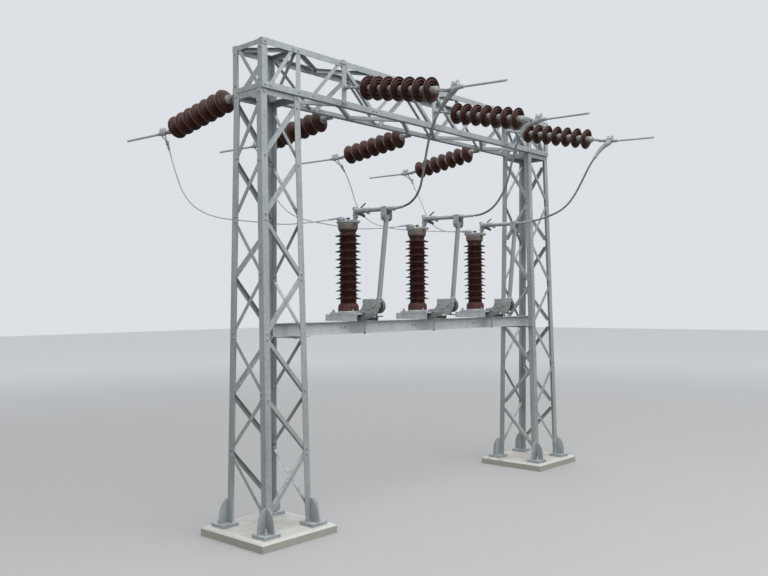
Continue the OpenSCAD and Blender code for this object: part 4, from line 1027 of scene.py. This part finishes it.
# Dark sheets of painted shade: one behind the strap stands for the dark open end of the base channel seen past it,
# and one fills the dark space under the strap's outer end.
shade_sheet_behind_strap = [(-0.140, 2.230), (-0.262, 2.230), (-0.262, 2.160), (-0.140, 2.160)]
shade_sheet_under_strap = [(-0.264, 2.161), (-0.380, 2.154), (-0.390, 2.194), (-0.322, 2.182)]
hook_rod = ((-0.262, 2.178), (-0.264, 2.110), (-0.260, 2.032))
hook_rod_off = 0.060
cheek = [(113, -79), (55, -112), (-18, -120), (-40, -100), (-66, -62), (-84, 0), (-96, 44), (-78, 44), (-18, 80)]
far_cheek = [(113, -79), (60, -30), (60, 76)]
cheek_root = [(162, 80), (162, 5), (195, -39)]
cheek_lip = [(-100, 50), (-96, 50), (-84, 0), (-66, -62), (-70, -62), (-88, 0)]
stop_finger = [(-46, -80), (-60, -72), (-44, -122), (-30, -122)]
cheek_bolts = ((0.140, 0.062), (0.140, 0.018), (0.068, 0.062), (-0.030, -0.090))
drum_profile = [(0, 0), (drum_r - 3, 0), (drum_r, 3), (drum_r, 38), (79, 43), (74, 43.5), (68, 41), (60, 43),
                (20, 43), (18, 44), (0, 44)]
boss_profile = [(0, 7), (13, 7), (17, 6), (19, 3), (23, 2.5), (24, 0.2), (0, 0.2)]


def by_shaft(y, offsets):
    """Outline in the YZ plane from offsets in millimetres to a shaft at a given y."""
    return [(y + dy / 1000, pivot_z + dz / 1000) for dy, dz in offsets]


light, shade, details = bmesh.new(), bmesh.new(), bmesh.new()
near, far, shafts, drums, bosses = [], [], [], [], []
for x, y in zip(poles, pivots):
    add_plate(light, foot + by_shaft(y, cheek + cheek_root), x - cheek_out, x - cheek_in)
    add_plate(light, foot + by_shaft(y, far_cheek + cheek_root), x + cheek_in, x + cheek_out)
    add_plate(light, by_shaft(y, cheek_lip), x - 0.056, x - cheek_in, 0.001)
    add_block(light, (x, (foot_front + foot_back) / 2, plate_top + 0.004),
              (2 * cheek_out, foot_back - foot_front, 0.008), 0.002)
    add_block(light, (x, y + 0.104, pivot_z + 0.036), (2 * cheek_in + 0.002, 0.108, 0.080), 0.005)
    add_block(light, (x - 0.047, y + 0.077, pivot_z - 0.030), (0.014, 0.042, 0.016), 0.005)
    add_plate(shade, strap, x - 0.052, x - 0.044)
    # Painted shade: dark sheets behind and under the strap.
    add_plate(details, shade_sheet_behind_strap, x - 0.040, x + 0.030)
    add_plate(details, shade_sheet_under_strap, x - 0.046, x + 0.030)
    add_plate(details, by_shaft(y, stop_finger), x - 0.038, x - 0.028, 0.001)
    add_block(details, (x + 0.055, y - 0.012, pivot_z - 0.114), (0.034, 0.072, 0.012), 0.004)
    add_bar(details, line((x - cheek_out - 0.009, y, pivot_z), (x + drum_end + 0.009, y, pivot_z), 4), [(0, 10)], 20)
    near += [((x - cheek_out, y + dy, pivot_z + dz), (-1, 0, 0)) for dy, dz in cheek_bolts]
    far += [((x + drum_face, y + drum_bolt_r * c, pivot_z + drum_bolt_r * s), (1, 0, 0)) for c, s in foot_circle]
    shafts += [((x - cheek_out, y, pivot_z), (-1, 0, 0)), ((x + drum_face, y, pivot_z), (1, 0, 0))]
    drums.append(((x + cheek_in - 0.001, y, pivot_z), (1, 0, 0)))
    bosses.append(((x - cheek_out, y - 0.012, pivot_z + 0.024), (-1, 0, 0)))
    rod_x = x - hook_rod_off
    add_bar(shade, smooth_path([(rod_x, *p) for p in hook_rod], 8), [(0, 6)], 14)
    add_bar(shade, line((rod_x, -0.260, 2.034), (rod_x, -0.257, 2.006), 12),
            [(0, 6), (5, 11), (13, 12.8), (20, 11), (28, 5)], 18)
    add_block(shade, (rod_x + 0.006, -0.262, 2.178), (0.026, 0.020, 0.022), 0.004)
keep("bracket_plates", mesh_from(light, 40), bracket_steel, replaces="arm_brackets")
keep("straps_and_hook_rods", mesh_from(shade, 40), shaded_steel)
# Shafts, stop fingers, a foot block and the dark sheets of painted shade, all in dark iron.
keep("shafts_and_stops", mesh_from(details, 50), dark_iron)
bolts("cheek_bolts", near, flats=0.017, head=0.008, washer=0.021, material=bracket_steel)
bolts("drum_bolts", far, flats=0.017, head=0.008, washer=0.020, thread=0.003)
bolts("shaft_nuts", shafts, flats=0.030, head=0.014, washer=0.038, material=bracket_steel)
copies("drum_shells", drum_profile, 56, drums, drum_paint, 30)
copies("cheek_bosses", boss_profile, 40, bosses, bright_casting, 30)

# Blades
# Earthing blades: a link on an eye that turns on the shaft, an aluminium tube from its knuckle, and a fork of
# two plates that straddles the contact tube, with spring fingers inside the plates.
blade_tube = finish("blade_tube", (0.35, 0.36, 0.385), (0.29, 0.30, 0.325), (0.40, 0.41, 0.43),
                    (0.50, 0.50, 0.50), rough=(0.40, 0.55), metallic=0.25, patch_size=5.0, grain_size=260.0,
                    streak_amount=0.6)
leans = (7.5, 6.0, 6.0)
blade_out = 0.042
fork_z = 3.287
plate_out = 0.050
plate_in = 0.042
fork_half = 0.041
fork_rise = 0.117
knuckle_up = 0.046
link_outline = [(-62, 60), (-62, -20), (-30, -34), (28, -24), (34, 12), (10, 36)]
link_half_x = 0.018
eye_half_x = 0.026
rivet_out = plate_out - 0.004
half_turn = [math.pi * i / 18 for i in range(19)]
tube_radii = [(0, 24), (14, 27.5), (900, 27.5), (930, 25), (1000, 25)]
knuckle_radii = [(0, 22), (5, 30), (20, 31), (24, 29.4), (30, 29.4), (34, 31.5), (50, 31), (58, 27.8)]
finger = ((0.040, 3.318), (0.034, 3.345), (0.030, 3.378), (0.036, 3.401))
for k, (x, y, lean) in enumerate(zip(poles, pivots, leans)):
    body = f"blade_{k + 1}"
    up = Vector((0, -math.sin(math.radians(lean)), math.cos(math.radians(lean))))
    root = Vector((x, y - blade_out, pivot_z))
    top = root + (fork_z - pivot_z) / up.z * up
    knuckle = root + knuckle_up * up
    tube, collar, link = bmesh.new(), bmesh.new(), bmesh.new()
    add_bar(tube, line(knuckle + 0.010 * up, top + 0.020 * up, 60), tube_radii, 36)
    add_block(tube, top + Vector((0, 0, 0.002)), (2 * plate_in + 0.002, 0.044, 0.044), 0.006)
    fork = [(top.y - fork_half * math.cos(a), top.z - fork_half * math.sin(a)) for a in half_turn]
    fork += [(top.y + fork_half, top.z + fork_rise), (top.y - fork_half, top.z + fork_rise)]
    for s in (-1, 1):
        add_plate(tube, fork, x + s * plate_in, x + s * plate_out, 0.0025)
        for dy in (0.020, -0.020):
            add_bar(collar, smooth_path([(x + s * dx, top.y + dy, z) for dx, z in finger], 6), [(0, 4.5)], 10)
        add_bar(collar, line((x + s * rivet_out, top.y - 0.036, top.z + 0.113),
                             (x + s * rivet_out, top.y + 0.036, top.z + 0.113), 4), [(0, 6.2)], 12)
    add_bar(collar, line(knuckle - 0.006 * up, knuckle + 0.052 * up, 24), knuckle_radii, 36)
    add_block(collar, knuckle + 0.036 * up + Vector((0, -0.030, 0)), (0.030, 0.018, 0.026), 0.004)
    add_plate(link, by_shaft(y, link_outline), x - link_half_x, x + link_half_x, 0.003)
    add_bar(link, line((x - eye_half_x, y, pivot_z), (x + eye_half_x, y, pivot_z), 2), [(0, 38)], 40)
    keep(f"{body}_tube", mesh_from(tube, 45), blade_tube, body, replaces=f"arm_{k + 1}")
    keep(f"{body}_knuckle", mesh_from(collar, 50), bright_casting, body)
    keep(f"{body}_link", mesh_from(link, 45), shaded_steel, body)
    bolts(f"{body}_bolts", [
        ((x - plate_out, top.y - 0.002, fork_z + 0.003), (-1, 0, 0)),
        ((x + plate_out, top.y - 0.002, fork_z + 0.003), (1, 0, 0)),
        ((x + plate_in, top.y - 0.018, fork_z - 0.008), (-1, 0, 0)),
        ((x + plate_in, top.y, fork_z + 0.102), (-1, 0, 0))],
        flats=0.026, head=0.009, washer=0.040, material=shaded_steel, body=body, slot="aluminium")

# Floor and light
# A plain pale floor and an even overcast light.
floor_reach = 60.0
floor_mesh = bpy.data.meshes.new("floor")
floor_mesh.from_pydata([(floor_reach * sx, floor_reach * sy, 0) for sx, sy in ((-1, -1), (1, -1), (1, 1), (-1, 1))],
                       [], [(0, 1, 2, 3)])
floor_material = bpy.data.materials.new("floor")
floor_material.use_nodes = True
tree = floor_material.node_tree
outward = add_node(tree, "ShaderNodeVectorMath", {0: object_place(tree)}, operation="LENGTH").outputs["Value"]
pale = mix(tree, ramp(tree, outward, 4.0, 26.0), (0.42, 0.42, 0.415), (0.80, 0.81, 0.82))
seen_directly = add_node(tree, "ShaderNodeLightPath").outputs["Is Camera Ray"]
for label, value in (("Base Color", mix(tree, seen_directly, (0.20, 0.20, 0.19), pale)), ("Roughness", 1.0),
                     ("Specular IOR Level", 0.0)):
    feed(tree.nodes["Principled BSDF"].inputs[label], value)
new_object("floor", floor_mesh, floor_material)

world = bpy.data.worlds.new("overcast")
scene.world = world
world.use_nodes = True
sky = world.node_tree
sky.nodes.clear()
seen = add_node(sky, "ShaderNodeBackground", {"Color": (0.720, 0.750, 0.785, 1.0)})
light = add_node(sky, "ShaderNodeBackground", {"Color": (0.93, 0.96, 1.0, 1.0), "Strength": 0.74})
rays = add_node(sky, "ShaderNodeLightPath").outputs
mirrored = math_node(sky, "MAXIMUM", rays["Is Camera Ray"], rays["Is Glossy Ray"])
visible = math_node(sky, "MAXIMUM", mirrored, rays["Is Transmission Ray"])
choose = add_node(sky, "ShaderNodeMixShader", {0: visible, 1: light.outputs[0], 2: seen.outputs[0]})
add_node(sky, "ShaderNodeOutputWorld", {0: choose.outputs[0]})

for name, spot, aim, size, watts in (
        ("cloud", (-2.0, -6.0, 11.0), (0.0, 0.0, 2.5), 16.0, 1550.0),
        ("fill", (5.0, 5.0, 10.0), (0.0, 0.0, 3.0), 7.0, 200.0)):
    lamp = bpy.data.lights.new(name, "AREA")
    lamp.size = size
    lamp.energy = watts
    placed = bpy.data.objects.new(name, lamp)
    placed.location = spot
    placed.rotation_euler = (Vector(aim) - Vector(spot)).to_track_quat("-Z", "Y").to_euler()
    scene.collection.objects.link(placed)

scene.view_settings.view_transform = "Standard"
